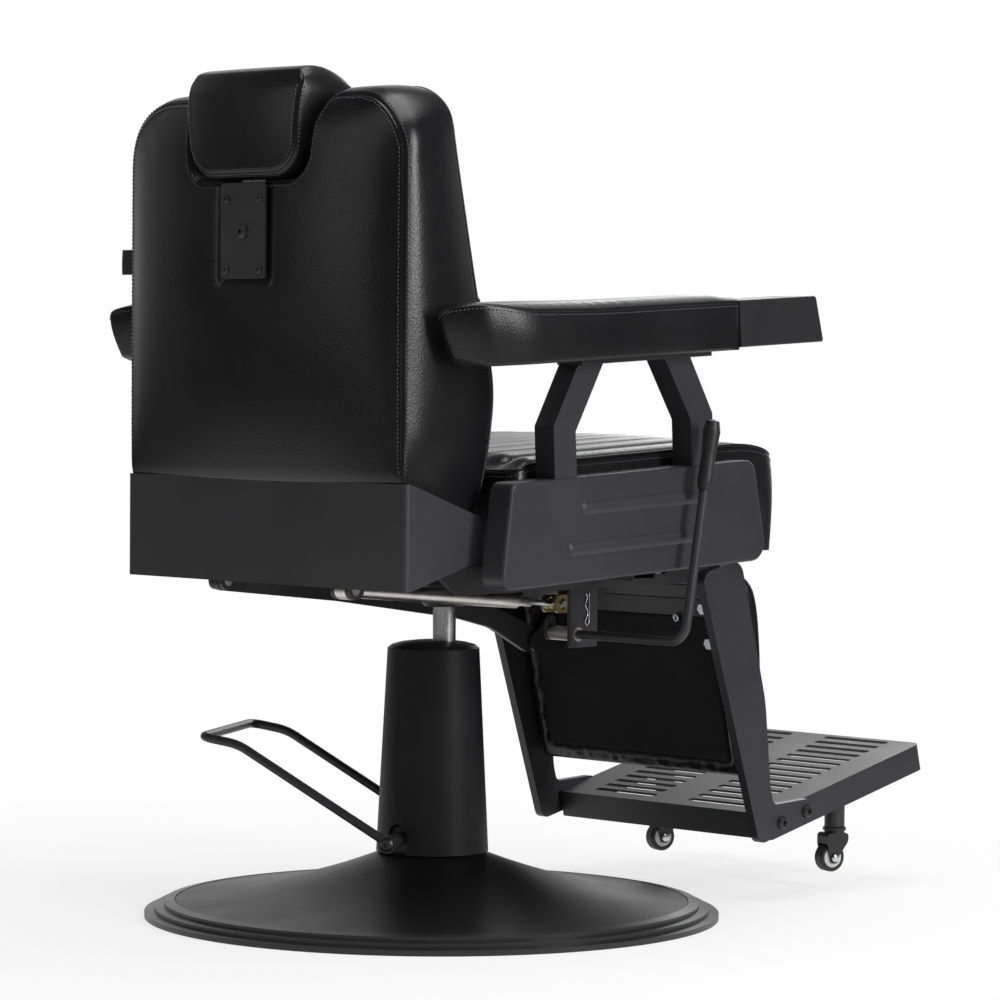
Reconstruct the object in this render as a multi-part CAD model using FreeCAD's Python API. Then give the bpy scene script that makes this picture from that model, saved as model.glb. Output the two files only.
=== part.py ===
import FreeCAD, Part
import math
import os

os.makedirs("parts", exist_ok=True)
V = FreeCAD.Vector

# Frame: origin on the swivel axis at the floor, +Z up, the sitter faces -Y and their left side is +X.
# All lengths are millimetres, all angles are degrees.

# Base, column and pump
BASE_R = 350.0
DOME_R = 312.0
DOME_EDGE_Z = 20.0
DOME_TOP_Z = 79.0
SHEET = 2.5
PLATE_R = 305.0
PLATE_T = 8.0
COLUMN_FOOT_R = 68.5
COLUMN_TOP_R = 56.0
COLUMN_TOP_Z = 327.0
PEDAL_TURN = 31.0
RAM_OFFSET = 13.4
RAM_R = 14.0
RUN = 0.05
CYLINDER_R = 24.0
PISTON_R = 18.0
HUB_Z = 410.0

# Pump pedal, along its own direction from the column axis
AXLE_S = 27.0
AXLE_Z = 97.0
AXLE_R = 8.0
PEDAL_HALF = 99.5
PEDAL_ROD_R = 5.5
PEDAL_BEND = (217.0, 211.0)
PEDAL_END = (263.0, 219.0)
PLUNGER_S = 51.0
PLUNGER_R = 8.0

# Seat, arms and side panels, drawn level and then tilted about the X axis at SEAT_Z
SEAT_TILT = 3.0
SEAT_Z = 430.0
BOARD_Z = 446.0
BOARD_T = 14.0
SEAT_HALF = 251.0
SEAT_FRONT = -334.0
SEAT_REAR = 128.0
SEAT_TOP = 573.0
SEAT_EDGE = 564.0
FLUTES = 9
PANEL_OUT = 292.0
PANEL_IN = 258.0
PANEL_TOP = 547.5
PANEL_BOTTOM = 425.0
BEAD_HALF = 8.0
BEAD_RISE = 3.0
POST_W = 31.0
POST_D = 36.0
ARM_X = 290.5
ARM_HALF = 34.0
ARM_Z = 682.5
ARM_TOP = 739.0
ARM_CROWN = 11.0
ARM_REAR = 247.0
ARM_BEND_R = 62.0
ARM_CORNER_R = 8.0
CAP_REAR = -186.0
ARM_FRONT = -325.0

# Pivots in the side plane, as (Y, Z)
BACK_PIVOT = (227.0, 494.0)
LEG_PIVOT = (-300.0, 398.0)
LINK_CRANK = (23.0, -82.0)
STRUT_CRANK = (13.0, -84.0)
STRUT_PIN = (-107.0, 381.0)
SIDE_IN = 168.0
SIDE_OUT = 176.0
HINGE_X = 180.0
HINGE_T = 8.0
PIN_R = 7.0
PIN_REACH = 6.0
LINK_X = 124.0
LINK_T = 8.0
LINK_PIN_R = 6.0
STRUT_X = -85.0
STRUT_R = 9.0
STRUT_ROD_R = 6.0
STRUT_PIN_R = 4.0
LEVER_SHAFT = (-88.0, 347.0)
HANGER_X = -141.0
HANGER_T = 6.0
LEVER_X = -316.0
LEVER_R = 5.5

# Backrest and headrest
BACK_REAR = 297.7
BACK_CROWN = 29.3
BACK_BASE_Z = 490.0
BACK_TOP = 989.0
BACK_FLUTES = 7
POCKET_Z = 538.3
BACK_BOARD_Y = 262.0
BACK_BOARD_T = 12.0
SKIRT_HALF = 243.3
SKIRT_REAR = 299.0
SKIRT_BOTTOM = 416.0
SKIRT_TOP = 538.0
SKIRT_FRONT = 176.0
NOTCH_HALF = 108.0
NOTCH_R = 38.0
NOTCH_Z = 880.0
HEAD_HALF = 100.0
POST_Y = 306.0
POST_T = 6.0
POST_HALF = 20.0
POST_FOOT = 716.0

# Legrest, drawn upright from its pivot and then swung forward by LEG_TILT
LEG_TILT = 13.5
LEG_ARM_IN = 184.0
LEG_ARM_T = 12.0
LEG_BOTTOM = -247.0
FOOT_TOP = -300.7
FOOT_RIM = 34.0
FOOT_REAR = -19.0
FOOT_DEPTH = 306.0
FOOT_HALF = 184.0
SLOT_ROWS = 15
SLOT_FIRST = -42.0
SLOT_PITCH = 19.4
SLOT_W = 9.0
SLOT_INNER = 29.0
SLOT_OUTER = 137.0
CASTER_X = 149.0
CASTER_Y = -557.0
CASTER_TRAIL = 7.5
CASTER_TURN = -16.0
SOCKET_Z = 80.0
WHEEL_R = 18.5
WHEEL_Z = 40.5
WHEEL_W = 18.0
STEM_R = 6.0

FULL = 360.0
SWEEP_FROM = -400.0
SWEEP = V(0, 800, 0)
AXIS_X = V(1, 0, 0)
AXIS_Z = V(0, 0, 1)
LINK_EYE = (BACK_PIVOT[0] + LINK_CRANK[0], BACK_PIVOT[1] + LINK_CRANK[1])
LEG_LUG = (LEG_PIVOT[0] + LINK_CRANK[0], LEG_PIVOT[1] + LINK_CRANK[1])
STRUT_EYE = (BACK_PIVOT[0] + STRUT_CRANK[0], BACK_PIVOT[1] + STRUT_CRANK[1])
PEDAL_DIR = V(math.cos(math.radians(PEDAL_TURN)), math.sin(math.radians(PEDAL_TURN)), 0)
BASE_CENTRE = PEDAL_DIR * RAM_OFFSET


def save(shape, node):
    shape.exportStep("parts/" + node + ".step")


def edge_loop(points, radii, closed=True):
    # Straight runs joined by tangent arcs, one radius for each corner
    count = len(points)
    cuts = []
    for i, p in enumerate(points):
        r = radii[i]
        if r == 0 or (not closed and i in (0, count - 1)):
            cuts.append((p, None, p))
            continue
        to_last = (points[i - 1] - p).normalize()
        to_next = (points[(i + 1) % count] - p).normalize()
        half = to_last.getAngle(to_next) / 2
        middle = (to_last + to_next).normalize()
        reach = r / math.tan(half)
        top = p + middle * (r / math.sin(half) - r)
        cuts.append((p + to_last * reach, top, p + to_next * reach))
    edges = []
    for i in range(count):
        start, top, end = cuts[i]
        if top is not None:
            edges.append(Part.Arc(start, top, end).toShape())
        if i < count - 1 or closed:
            after = cuts[(i + 1) % count][0]
            if end.distanceToPoint(after) > 1e-6:
                edges.append(Part.LineSegment(end, after).toShape())
    return Part.Wire(edges)


def slab(points, radii, along):
    # A flat outline pushed along a vector; one radius may stand for every corner
    if not isinstance(radii, (list, tuple)):
        radii = [radii] * len(points)
    return Part.Face(edge_loop(points, radii)).extrude(along)


def side_slab(points, radii, x0, x1):
    # An outline of (Y, Z) points standing between two X planes
    return slab([V(x0, y, z) for y, z in points], radii, V(x1 - x0, 0, 0))


def block(x0, x1, y0, y1, z0, z1):
    return Part.makeBox(x1 - x0, y1 - y0, z1 - z0, V(x0, y0, z0))


def turned(profile, centre=V(0, 0, 0)):
    # A closed (radius, Z) outline turned about the vertical through a point
    face = Part.Face(Part.makePolygon([V(r, 0, z) for r, z in profile + profile[:1]]))
    shape = face.revolve(V(0, 0, 0), AXIS_Z, FULL)
    return shape.translated(centre)


def hexagon(half, height):
    corner = half / math.cos(math.radians(30))
    turns = [math.radians(60 * i) for i in range(6)]
    return slab([V(corner * math.cos(a), corner * math.sin(a), 0) for a in turns], 0, V(0, 0, height))


def socket_head(radius, height, socket):
    # Button head on the XY plane with a hexagon socket, given by its half width, in its top
    dome = turned([(0, 0), (radius, 0), (radius * 0.95, height * 0.5), (radius * 0.66, height), (0, height)])
    return dome.cut(hexagon(socket, height).translated(V(0, 0, height * 0.45)))


def x_pin(x0, x1, at, radius):
    return Part.makeCylinder(radius, x1 - x0, V(x0, at[0], at[1]), AXIS_X)


def bent_rod(points, radii, radius):
    path = edge_loop(points, radii, closed=False)
    ring = Part.Wire(Part.makeCircle(radius, points[0], points[1] - points[0]))
    return path.makePipeShell([ring], True, False)


def mirrored(shape):
    return shape.mirror(V(0, 0, 0), AXIS_X)


def tilted(shape):
    return shape.rotated(V(0, 0, SEAT_Z), AXIS_X, -SEAT_TILT)


def hung(shape):
    # From the upright legrest drawing to its place on the chair
    return shape.rotated(V(0, 0, 0), AXIS_X, -LEG_TILT).translated(V(0, *LEG_PIVOT))


def on_base(shape):
    return shape.rotated(V(0, 0, 0), AXIS_Z, PEDAL_TURN).translated(BASE_CENTRE)


def fused(first, *others):
    return first.multiFuse(list(others)).removeSplitter()


def scallops(x0, z0, x1, z1, crown, count, bulge, plane):
    # Arcs side by side from one point to the other, their seams lifted on a crown
    def seam(i):
        k = i / count
        rise = crown * (1 - (2 * k - 1) ** 2)
        return V(*plane(x0 + (x1 - x0) * k, z0 + (z1 - z0) * k + rise))
    edges = []
    for i in range(count):
        a = seam(i)
        b = seam(i + 1)
        puff = V(*plane(0, bulge)) - V(*plane(0, 0))
        edges.append(Part.Arc(a, (a + b) * 0.5 + puff, b).toShape())
    return edges


def base_parts():
    plate = turned([(0, 0), (PLATE_R, 0), (PLATE_R, PLATE_T), (0, PLATE_T)])
    save(on_base(plate), "base_plate")
    rise = [(DOME_R, DOME_EDGE_Z), (180.0, 41.0), (62.0, DOME_TOP_Z)]
    top = [V(r, 0, z) for r, z in rise]
    under = [p - V(0, 0, SHEET) for p in top]
    wall = [Part.Arc(*top).toShape(), Part.LineSegment(top[2], under[2]).toShape(),
            Part.Arc(*under[::-1]).toShape(), Part.LineSegment(under[0], top[0]).toShape()]
    dome = Part.Face(Part.Wire(wall)).revolve(V(0, 0, 0), AXIS_Z, FULL)
    save(on_base(dome), "base_dome")
    lip = DOME_R + 1
    shelf = DOME_EDGE_Z - SHEET - 0.1
    ring = [(PLATE_R + 1, 0), (BASE_R, 0)]
    for step in range(3):
        r = BASE_R - 12.0 * step
        z = 6.0 * step
        ring += [(r, z + 6.5), (r - 12.0, z + 8.0)]
    ring[-1] = (lip, DOME_EDGE_Z + 0.5)
    ring += [(lip, shelf), (PLATE_R + 1, shelf)]
    save(on_base(turned(ring)), "base_edge_ring")


def arch_slot():
    # The opening in the column cover that the pedal axle leaves by
    half = 13.0
    top = AXLE_Z + half
    low = DOME_TOP_Z - 5
    outline = [V(AXLE_S - half, -90, low), V(AXLE_S - half, -90, top + 6),
               V(AXLE_S + half, -90, top + 6), V(AXLE_S + half, -90, low)]
    return slab(outline, [0, half - 0.5, half - 0.5, 0], V(0, 180, 0))


def column_parts():
    foot = DOME_TOP_Z + 0.5
    wall = 3.0
    cover = turned([(COLUMN_FOOT_R, foot), (COLUMN_TOP_R, COLUMN_TOP_Z),
                    (COLUMN_TOP_R - wall, COLUMN_TOP_Z), (COLUMN_FOOT_R - wall, foot)])
    save(on_base(cover.cut(arch_slot())), "column_cover")
    rim = COLUMN_TOP_R
    spigot = rim - wall - 0.4
    z = COLUMN_TOP_Z
    cap = turned([(0, z + 9), (24, z + 9), (40, z + 7), (rim - 5, z + 4), (rim, z), (spigot, z),
                  (spigot, z - 8), (spigot - 3, z - 8), (spigot - 3, z + 1), (0, z + 1)])
    hole = Part.makeCylinder(RAM_R + 2.5, 40, V(0, 0, z - 20))
    save(on_base(cap).cut(hole), "column_cap")
    floor = PLATE_T
    tube = turned([(0, floor), (CYLINDER_R, floor), (CYLINDER_R, 320), (PISTON_R + RUN, 320),
                   (PISTON_R + RUN, floor + 10), (0, floor + 10)])
    save(tube, "hydraulic_cylinder")
    gland = turned([(RAM_R + RUN, 308), (PISTON_R, 308), (PISTON_R, 320), (CYLINDER_R, 320),
                    (CYLINDER_R, 325), (RAM_R + RUN, 325)])
    save(gland, "cylinder_gland")
    ram = turned([(0, 40), (PISTON_R, 40), (PISTON_R, 62), (RAM_R, 62), (RAM_R, HUB_Z - 2),
                  (RAM_R - 2, HUB_Z), (0, HUB_Z)])
    save(ram, "ram")


def pump_parts():
    floor = PLATE_T
    cheek_in, cheek_out, cheek_half = 30.0, 44.0, 15.0
    outline = [V(AXLE_S - cheek_half, cheek_in, floor), V(AXLE_S + cheek_half, cheek_in, floor),
               V(AXLE_S + cheek_half, cheek_in, AXLE_Z + 16), V(AXLE_S - cheek_half, cheek_in, AXLE_Z + 16)]
    cheek = slab(outline, [0, 0, 14.5, 14.5], V(0, cheek_out - cheek_in, 0))
    other = cheek.translated(V(0, -cheek_in - cheek_out, 0))
    pad = block(12.0, 66.0, -cheek_out, cheek_out, floor, floor + 8)
    barrel = Part.makeCylinder(14.0, 52.0, V(PLUNGER_S, 0, floor))
    bore = Part.makeCylinder(PLUNGER_R + RUN, 60.0, V(PLUNGER_S, 0, floor + 12))
    seat = Part.makeCylinder(AXLE_R + RUN, 200.0, V(AXLE_S, -100, AXLE_Z), V(0, 1, 0))
    body = fused(cheek, other, pad, barrel).cut(bore).cut(seat)
    save(on_base(body), "pump_block")
    plunger = Part.makeCylinder(PLUNGER_R, 44.0, V(PLUNGER_S, 0, floor + 27))
    save(on_base(plunger), "pump_plunger")


def pedal_parts():
    eye_in, eye_out, eye_r = PEDAL_HALF - 7.5, PEDAL_HALF + 7.5, 11.0
    shaft = Part.makeCylinder(AXLE_R, 2 * eye_in, V(AXLE_S, -eye_in, AXLE_Z), V(0, 1, 0))
    cam_top = PLATE_T + 27 + 44 + 0.6
    cam = [V(AXLE_S - 12, -9, AXLE_Z - 9), V(AXLE_S - 12, -9, AXLE_Z + 12), V(AXLE_S + 12, -9, AXLE_Z + 12),
           V(PLUNGER_S + 8, -9, cam_top + 10), V(PLUNGER_S + 8, -9, cam_top), V(PLUNGER_S - 6, -9, cam_top)]
    save(on_base(fused(shaft, slab(cam, [4, 8, 8, 4, 4, 2], V(0, 18, 0)))), "pedal_axle")
    route = []
    for side in (1, -1):
        y = PEDAL_HALF * side
        points = [V(AXLE_S + 6, y, AXLE_Z + 3.7), V(PEDAL_BEND[0], y, PEDAL_BEND[1]),
                  V(PEDAL_END[0], y, PEDAL_END[1])]
        route += points[::side]
    rod = bent_rod(route, [0, 70, 14, 14, 70, 0], PEDAL_ROD_R)
    eyes = [Part.makeCylinder(eye_r, eye_out - eye_in, V(AXLE_S, y, AXLE_Z), V(0, 1, 0))
            for y in (eye_in, -eye_out)]
    save(on_base(fused(rod, *eyes)), "pedal_rod")
    head = socket_head(8.7, 5.0, 3.2)
    near = head.rotated(V(0, 0, 0), AXIS_X, -90).translated(V(AXLE_S, eye_out, AXLE_Z))
    far = head.rotated(V(0, 0, 0), AXIS_X, 90).translated(V(AXLE_S, -eye_out, AXLE_Z))
    save(on_base(Part.makeCompound([near, far])), "pedal_bolts")


def cross_tubes():
    # Two box tubes across the seat, carrying the hub plate, the side plates and the side panels
    tubes = []
    for y in (-80.0, 80.0):
        tube = block(-PANEL_IN, PANEL_IN, y - 20, y + 20, HUB_Z + 8, HUB_Z + 28)
        core = block(-PANEL_IN, PANEL_IN, y - 17.5, y + 17.5, HUB_Z + 10.5, HUB_Z + 25.5)
        tubes.append(tube.cut(core))
    return tubes


def side_plate():
    by, bz = BACK_PIVOT
    ly, lz = LEG_PIVOT
    outline = [(by - 22, bz + 22), (by + 22, bz + 22), (by + 22, bz - 14), (148, 404), (-262, 406),
               (ly + 19, lz - 19), (ly - 19, lz - 19), (ly - 19, lz + 6), (-288, 457), (150, 436)]
    radii = [21, 21, 18, 30, 10, 18, 18, 14, 8, 40]
    plate = side_slab(outline, radii, SIDE_IN, SIDE_OUT)
    for at in (BACK_PIVOT, LEG_PIVOT):
        plate = plate.cut(x_pin(SIDE_IN - 1, SIDE_OUT + 1, at, PIN_R))
    for y in (-80.0, 80.0):
        plate = plate.cut(block(SIDE_IN - 1, SIDE_OUT + 1, y - 20, y + 20, HUB_Z + 8, HUB_Z + 28))
    for y in (-180.0, 0.0):
        hole = [(y - 30, 418), (y + 30, 418), (y + 30, 436), (y - 30, 436)]
        plate = plate.cut(side_slab(hole, 8.5, SIDE_IN - 1, SIDE_OUT + 1))
    return plate


def pivot_pins():
    pins = []
    for at, end in ((BACK_PIVOT, HINGE_X + HINGE_T), (LEG_PIVOT, LEG_ARM_IN + PIN_REACH)):
        pin = x_pin(SIDE_IN - 8, end, at, PIN_R)
        nut = x_pin(SIDE_IN - 8, SIDE_IN, at, 11.0)
        gap = HINGE_X if at is BACK_PIVOT else LEG_ARM_IN
        spacer = x_pin(SIDE_OUT, gap - 0.4, at, 11.0)
        whole = fused(pin, nut, spacer)
        pins += [whole, mirrored(whole)]
    return Part.makeCompound(pins)


def frame_parts():
    boss = turned([(RAM_R + RUN, 378), (24, 378), (30, 384), (30, 396), (52, HUB_Z), (RAM_R + RUN, HUB_Z)])
    half_x, half_y = 66, 104
    hub_plate = slab([V(-half_x, -half_y, HUB_Z), V(half_x, -half_y, HUB_Z), V(half_x, half_y, HUB_Z),
                      V(-half_x, half_y, HUB_Z)], 14.0, V(0, 0, 8))
    save(fused(boss, hub_plate), "swivel_hub")
    save(Part.makeCompound(cross_tubes()), "frame_cross_tubes")
    plate = side_plate()
    save(plate, "frame_side_left")
    save(mirrored(plate), "frame_side_right")
    save(pivot_pins(), "pivot_pins")
    board = block(-240, 240, -302, 122, BOARD_Z, BOARD_Z + BOARD_T)
    save(tilted(board), "seat_board")


def lock_mount_parts():
    # Bracket for the lever shaft, its bush, and the slotted clevis that takes the lock strut
    ly, lz = LEVER_SHAFT
    front, rear = ly - 34, ly + 12
    outline = [(front, HUB_Z), (front, lz - 16), (rear, lz - 16), (rear, HUB_Z)]
    hanger = side_slab(outline, [0, 4, 4, 0], HANGER_X, HANGER_X + HANGER_T)
    foot = block(HANGER_X, STRUT_X - 14, front, rear, HUB_Z, HUB_Z + 8)
    bush_r = 8.5
    bush_end = HANGER_X - 1
    hanger = hanger.cut(x_pin(bush_end, HANGER_X + HANGER_T + 1, LEVER_SHAFT, bush_r))
    py, pz = STRUT_PIN
    drop = block(STRUT_X - 14, STRUT_X + 14, py - 23, py - 17, pz - 12, HUB_Z)
    shelf = block(STRUT_X - 14, STRUT_X + 14, py - 23, -62, HUB_Z, HUB_Z + 8)
    save(fused(hanger, foot, drop, shelf), "lock_bracket")
    bush = x_pin(bush_end, -98, LEVER_SHAFT, bush_r)
    bush = bush.cut(x_pin(bush_end - 1, -97, LEVER_SHAFT, LEVER_R + RUN))
    save(bush, "lever_bush")
    wall = 3.0
    outer = side_slab([(py - 17, pz - 11), (py + 15, pz - 11), (py + 15, pz + 11), (py - 17, pz + 11)],
                      [0, 10, 10, 0], STRUT_X - 12, STRUT_X + 12)
    inner = block(STRUT_X - 12 + wall, STRUT_X + 12 - wall, py - 17 + wall, py + 16, pz - 12, pz + 12)
    half_w, half_h = STRUT_PIN_R + 0.45, STRUT_PIN_R + 3.1
    slot = [(py - half_w, pz - half_h), (py + half_w, pz - half_h), (py + half_w, pz + half_h),
            (py - half_w, pz + half_h)]
    clevis = outer.cut(inner).cut(side_slab(slot, 4.0, STRUT_X - 13, STRUT_X + 13))
    save(clevis, "lock_clevis")


def lever_parts():
    ly, lz = LEVER_SHAFT
    lean = V(0, -46.0, 256.0)
    knee = V(LEVER_X, ly, lz)
    route = [V(-92, ly, lz), knee, knee + lean]
    rod = bent_rod(route, [0, 22, 0], LEVER_R)
    cam_outline = [(ly - 8, lz - 9), (ly + 8, lz - 9), (ly + 6, lz + 20), (ly - 6, lz + 20)]
    cam = side_slab(cam_outline, [7, 7, 5, 5], -97, -91)
    save(fused(rod, cam), "lever_rod")
    rod_length = lean.Length
    along = lean.normalize()
    grip_bore = 78.0
    start = knee + along * (rod_length - grip_bore + 0.2)
    grip = Part.Face(Part.makePolygon([V(r, 0, z) for r, z in
                     ((LEVER_R, 0), (7.5, 0), (9.5, 10), (8.5, 40), (10.5, 70), (8.0, 82), (0, 85),
                      (0, grip_bore), (LEVER_R, grip_bore), (LEVER_R, 0))]))
    grip = grip.revolve(V(0, 0, 0), AXIS_Z, FULL)
    turn = FreeCAD.Rotation(AXIS_Z, along)
    grip.Placement = FreeCAD.Placement(start, turn)
    save(grip, "lever_grip")


def post_outline(foot_rear, top_rear, depth_top):
    return [(foot_rear, 470), (foot_rear, 608), (top_rear, ARM_Z - 6), (top_rear - depth_top, ARM_Z - 6),
            (foot_rear - POST_D, 608 - 8), (foot_rear - POST_D, 470)]


def arm_bracket():
    # Two bent box posts rising from inside the side panel to the plate under the armrest
    inner = PANEL_OUT - SHEET - POST_W
    rear = side_slab(post_outline(98.0, 55.0, 42.0), [0, 6, 0, 0, 6, 0], inner, inner + POST_W)
    front_outline = [(-134, 470), (-134, 602), (-92, ARM_Z - 6), (-136, ARM_Z - 6), (-172, 608),
                     (-172, 470)]
    front = side_slab(front_outline, [0, 6, 0, 0, 6, 0], inner, inner + POST_W)
    plate = block(inner - 1, inner + POST_W + 8, -165, 57, ARM_Z - 6, ARM_Z)
    return fused(rear, front, plate)


def bead(y0, y1, z):
    # Half-round bead along the side panel, with round ends
    r = (BEAD_HALF ** 2 + BEAD_RISE ** 2) / (2 * BEAD_RISE)
    x = PANEL_OUT + BEAD_RISE - r
    ends = [V(x, y0 - BEAD_HALF, z), V(x, y1 + BEAD_HALF, z)]
    run = Part.makeCylinder(r, ends[0].y - ends[1].y, ends[1], V(0, 1, 0))
    balls = [Part.makeSphere(r, end) for end in ends]
    proud = block(PANEL_OUT - 1, PANEL_OUT + BEAD_RISE + 1, y1 - 40, y0 + 40, z - 30, z + 30)
    return fused(run, *balls).common(proud)


def side_panel(bracket):
    outline = [(170, PANEL_TOP), (193, PANEL_BOTTOM), (-262, PANEL_BOTTOM), (-243, PANEL_TOP)]
    radii = [12, 16, 22, 16]
    shell = side_slab(outline, radii, PANEL_IN, PANEL_OUT)
    rim = [e for e in shell.Edges if abs(e.CenterOfMass.x - PANEL_OUT) < 1e-3]
    shell = shell.makeFillet(4.0, rim)
    inset = [(170 - 3, PANEL_TOP - SHEET), (193 - 3, PANEL_BOTTOM + SHEET),
             (-262 + 3, PANEL_BOTTOM + SHEET), (-243 + 3, PANEL_TOP - SHEET)]
    shell = shell.cut(side_slab(inset, [10, 14, 20, 14], PANEL_IN - 1, PANEL_OUT - SHEET))
    for y0, y1, z in ((60.0, -150.0, 510.5), (84.0, -136.0, 464.5)):
        shell = shell.fuse(bead(y0, y1, z))
    return shell.removeSplitter().cut(bracket)


def armrest_pad(inner_r, outer_r):
    low, high = ARM_X - ARM_HALF, ARM_X + ARM_HALF
    room = 3.0
    plan = [V(low - room, CAP_REAR, ARM_Z), V(high + room, CAP_REAR, ARM_Z),
            V(high + room, ARM_REAR, ARM_Z), V(low - room, ARM_REAR, ARM_Z)]
    body = slab(plan, [0, 0, outer_r, inner_r], V(0, 0, 80))
    a, b = V(low, SWEEP_FROM, ARM_TOP), V(high, SWEEP_FROM, ARM_TOP)
    c, d = V(high - 3, SWEEP_FROM, ARM_Z), V(low + 3, SWEEP_FROM, ARM_Z)
    crown = V(ARM_X, SWEEP_FROM, ARM_TOP + ARM_CROWN)
    bow = V(1.5, 0, 0)
    section = Part.Wire([Part.Arc(a, crown, b).toShape(), Part.Arc(b, (b + c) * 0.5 + bow, c).toShape(),
                         Part.LineSegment(c, d).toShape(), Part.Arc(d, (d + a) * 0.5 - bow, a).toShape()])
    end = [(CAP_REAR, ARM_Z), (CAP_REAR, ARM_TOP + 20), (ARM_REAR, ARM_TOP + 20),
           (ARM_REAR, ARM_TOP - 12), (ARM_REAR - 16, ARM_Z)]
    pad = body.common(Part.Face(section).extrude(SWEEP))
    pad = pad.common(side_slab(end, [0, 0, 0, 30, 6], low - 2 * room, high + 2 * room))
    tongue = side_slab([(CAP_REAR, ARM_Z), (CAP_REAR, ARM_TOP - 1), (ARM_FRONT + 6, ARM_TOP - 1),
                        (ARM_FRONT - 4, ARM_Z)],
                       [0, 0, 4, 4], low + 3, high - 3)
    return fused(pad, tongue)


def armrest_cap():
    low, high = ARM_X - ARM_HALF - 1, ARM_X + ARM_HALF + 1
    outline = [(CAP_REAR + 1.5, ARM_TOP + 2.5), (CAP_REAR - 1.5, ARM_Z + 3), (ARM_FRONT - 12, ARM_Z + 3),
               (ARM_FRONT, ARM_TOP + 2.5)]
    shell = side_slab(outline, [0, 0, 3, 4], low, high)
    cut_back = block(low - 1, high + 1, CAP_REAR - 0.2, CAP_REAR + 10, ARM_Z, ARM_TOP + 20)
    long_edges = [e for e in shell.Edges if e.BoundBox.YLength > 100 and e.BoundBox.ZMin > ARM_TOP]
    hollow = side_slab([(CAP_REAR + 5, ARM_TOP - 1), (CAP_REAR + 5, ARM_Z), (ARM_FRONT - 4, ARM_Z),
                        (ARM_FRONT + 6, ARM_TOP - 1)],
                       [0, 0, 4, 4], ARM_X - ARM_HALF + 3, ARM_X + ARM_HALF - 3)
    return shell.makeFillet(2.5, long_edges).cut(hollow).cut(cut_back)


def arm_parts():
    bracket = arm_bracket()
    panel = side_panel(bracket)
    cap = armrest_cap()
    for shape, name in ((bracket, "arm_bracket"), (panel, "side_panel"), (cap, "armrest_cap")):
        save(tilted(shape), name + "_left")
        save(tilted(mirrored(shape)), name + "_right")
    # Both pads are one pattern: the rear bend lies on the right-hand side of each
    save(tilted(armrest_pad(ARM_BEND_R, ARM_CORNER_R)), "armrest_pad_left")
    save(tilted(mirrored(armrest_pad(ARM_CORNER_R, ARM_BEND_R))), "armrest_pad_right")


def seat_cushion():
    lip = 428.0
    half = SEAT_HALF
    low = lip - 1
    level = lambda x, z: (x, SWEEP_FROM, z)
    border = 34.0
    shoulder = 3.0
    left, right = V(-half + 3, SWEEP_FROM, low), V(half - 3, SWEEP_FROM, low)
    edge_l, edge_r = V(-half, SWEEP_FROM, SEAT_EDGE), V(half, SWEEP_FROM, SEAT_EDGE)
    flute_l = V(-half + border, SWEEP_FROM, SEAT_EDGE + shoulder)
    flute_r = V(half - border, SWEEP_FROM, SEAT_EDGE + shoulder)
    bow = V(3, 0, 0)
    rise = V(0, 0, 5)
    edges = [Part.LineSegment(left, right).toShape(),
             Part.Arc(right, (right + edge_r) * 0.5 + bow, edge_r).toShape(),
             Part.Arc(edge_r, (edge_r + flute_r) * 0.5 + rise, flute_r).toShape()]
    crown = SEAT_TOP - SEAT_EDGE - shoulder
    edges += scallops(flute_r.x, flute_r.z, flute_l.x, flute_l.z, crown, FLUTES, 5.0, level)
    edges += [Part.Arc(flute_l, (flute_l + edge_l) * 0.5 + rise, edge_l).toShape(),
              Part.Arc(edge_l, (edge_l + left) * 0.5 - bow, left).toShape()]
    across = Part.Face(Part.Wire(edges)).extrude(SWEEP)
    top = SEAT_TOP + 8
    profile = [(SEAT_REAR, BOARD_Z + BOARD_T), (SEAT_REAR, top), (-225, top),
               (SEAT_FRONT + 22, SEAT_EDGE - 4),
               (SEAT_FRONT, SEAT_EDGE - 18), (SEAT_FRONT, 490), (SEAT_FRONT + 5, lip), (-303, lip),
               (-303, BOARD_Z + BOARD_T)]
    along = side_slab(profile, [0, 25, 160, 16, 10, 60, 4, 0, 0], -half - 5, half + 5)
    plan = [V(-half - 3, SEAT_REAR, 400), V(half + 3, SEAT_REAR, 400), V(half + 3, SEAT_FRONT, 400),
            V(-half - 3, SEAT_FRONT, 400)]
    save(tilted(across.common(along).common(slab(plan, [10, 10, 18, 18], V(0, 0, 250)))), "seat_cushion")


def back_section(z, half, front, crown, bulge, rear=BACK_REAR):
    level = lambda x, y: (x, y, z)
    rear_l, rear_r = V(-half, rear, z), V(half, rear, z)
    side_l, side_r = V(-half, front, z), V(half, front, z)
    pull = V(3, 0, 0)
    edges = [Part.Arc(rear_l, V(0, rear + crown, z), rear_r).toShape(),
             Part.Arc(rear_r, (rear_r + side_r) * 0.5 - pull, side_r).toShape()]
    edges += scallops(half, front, -half, front, -bulge, BACK_FLUTES, -5.0, level)
    edges.append(Part.Arc(side_l, (side_l + rear_l) * 0.5 + pull, rear_l).toShape())
    return Part.Wire(edges)


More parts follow.
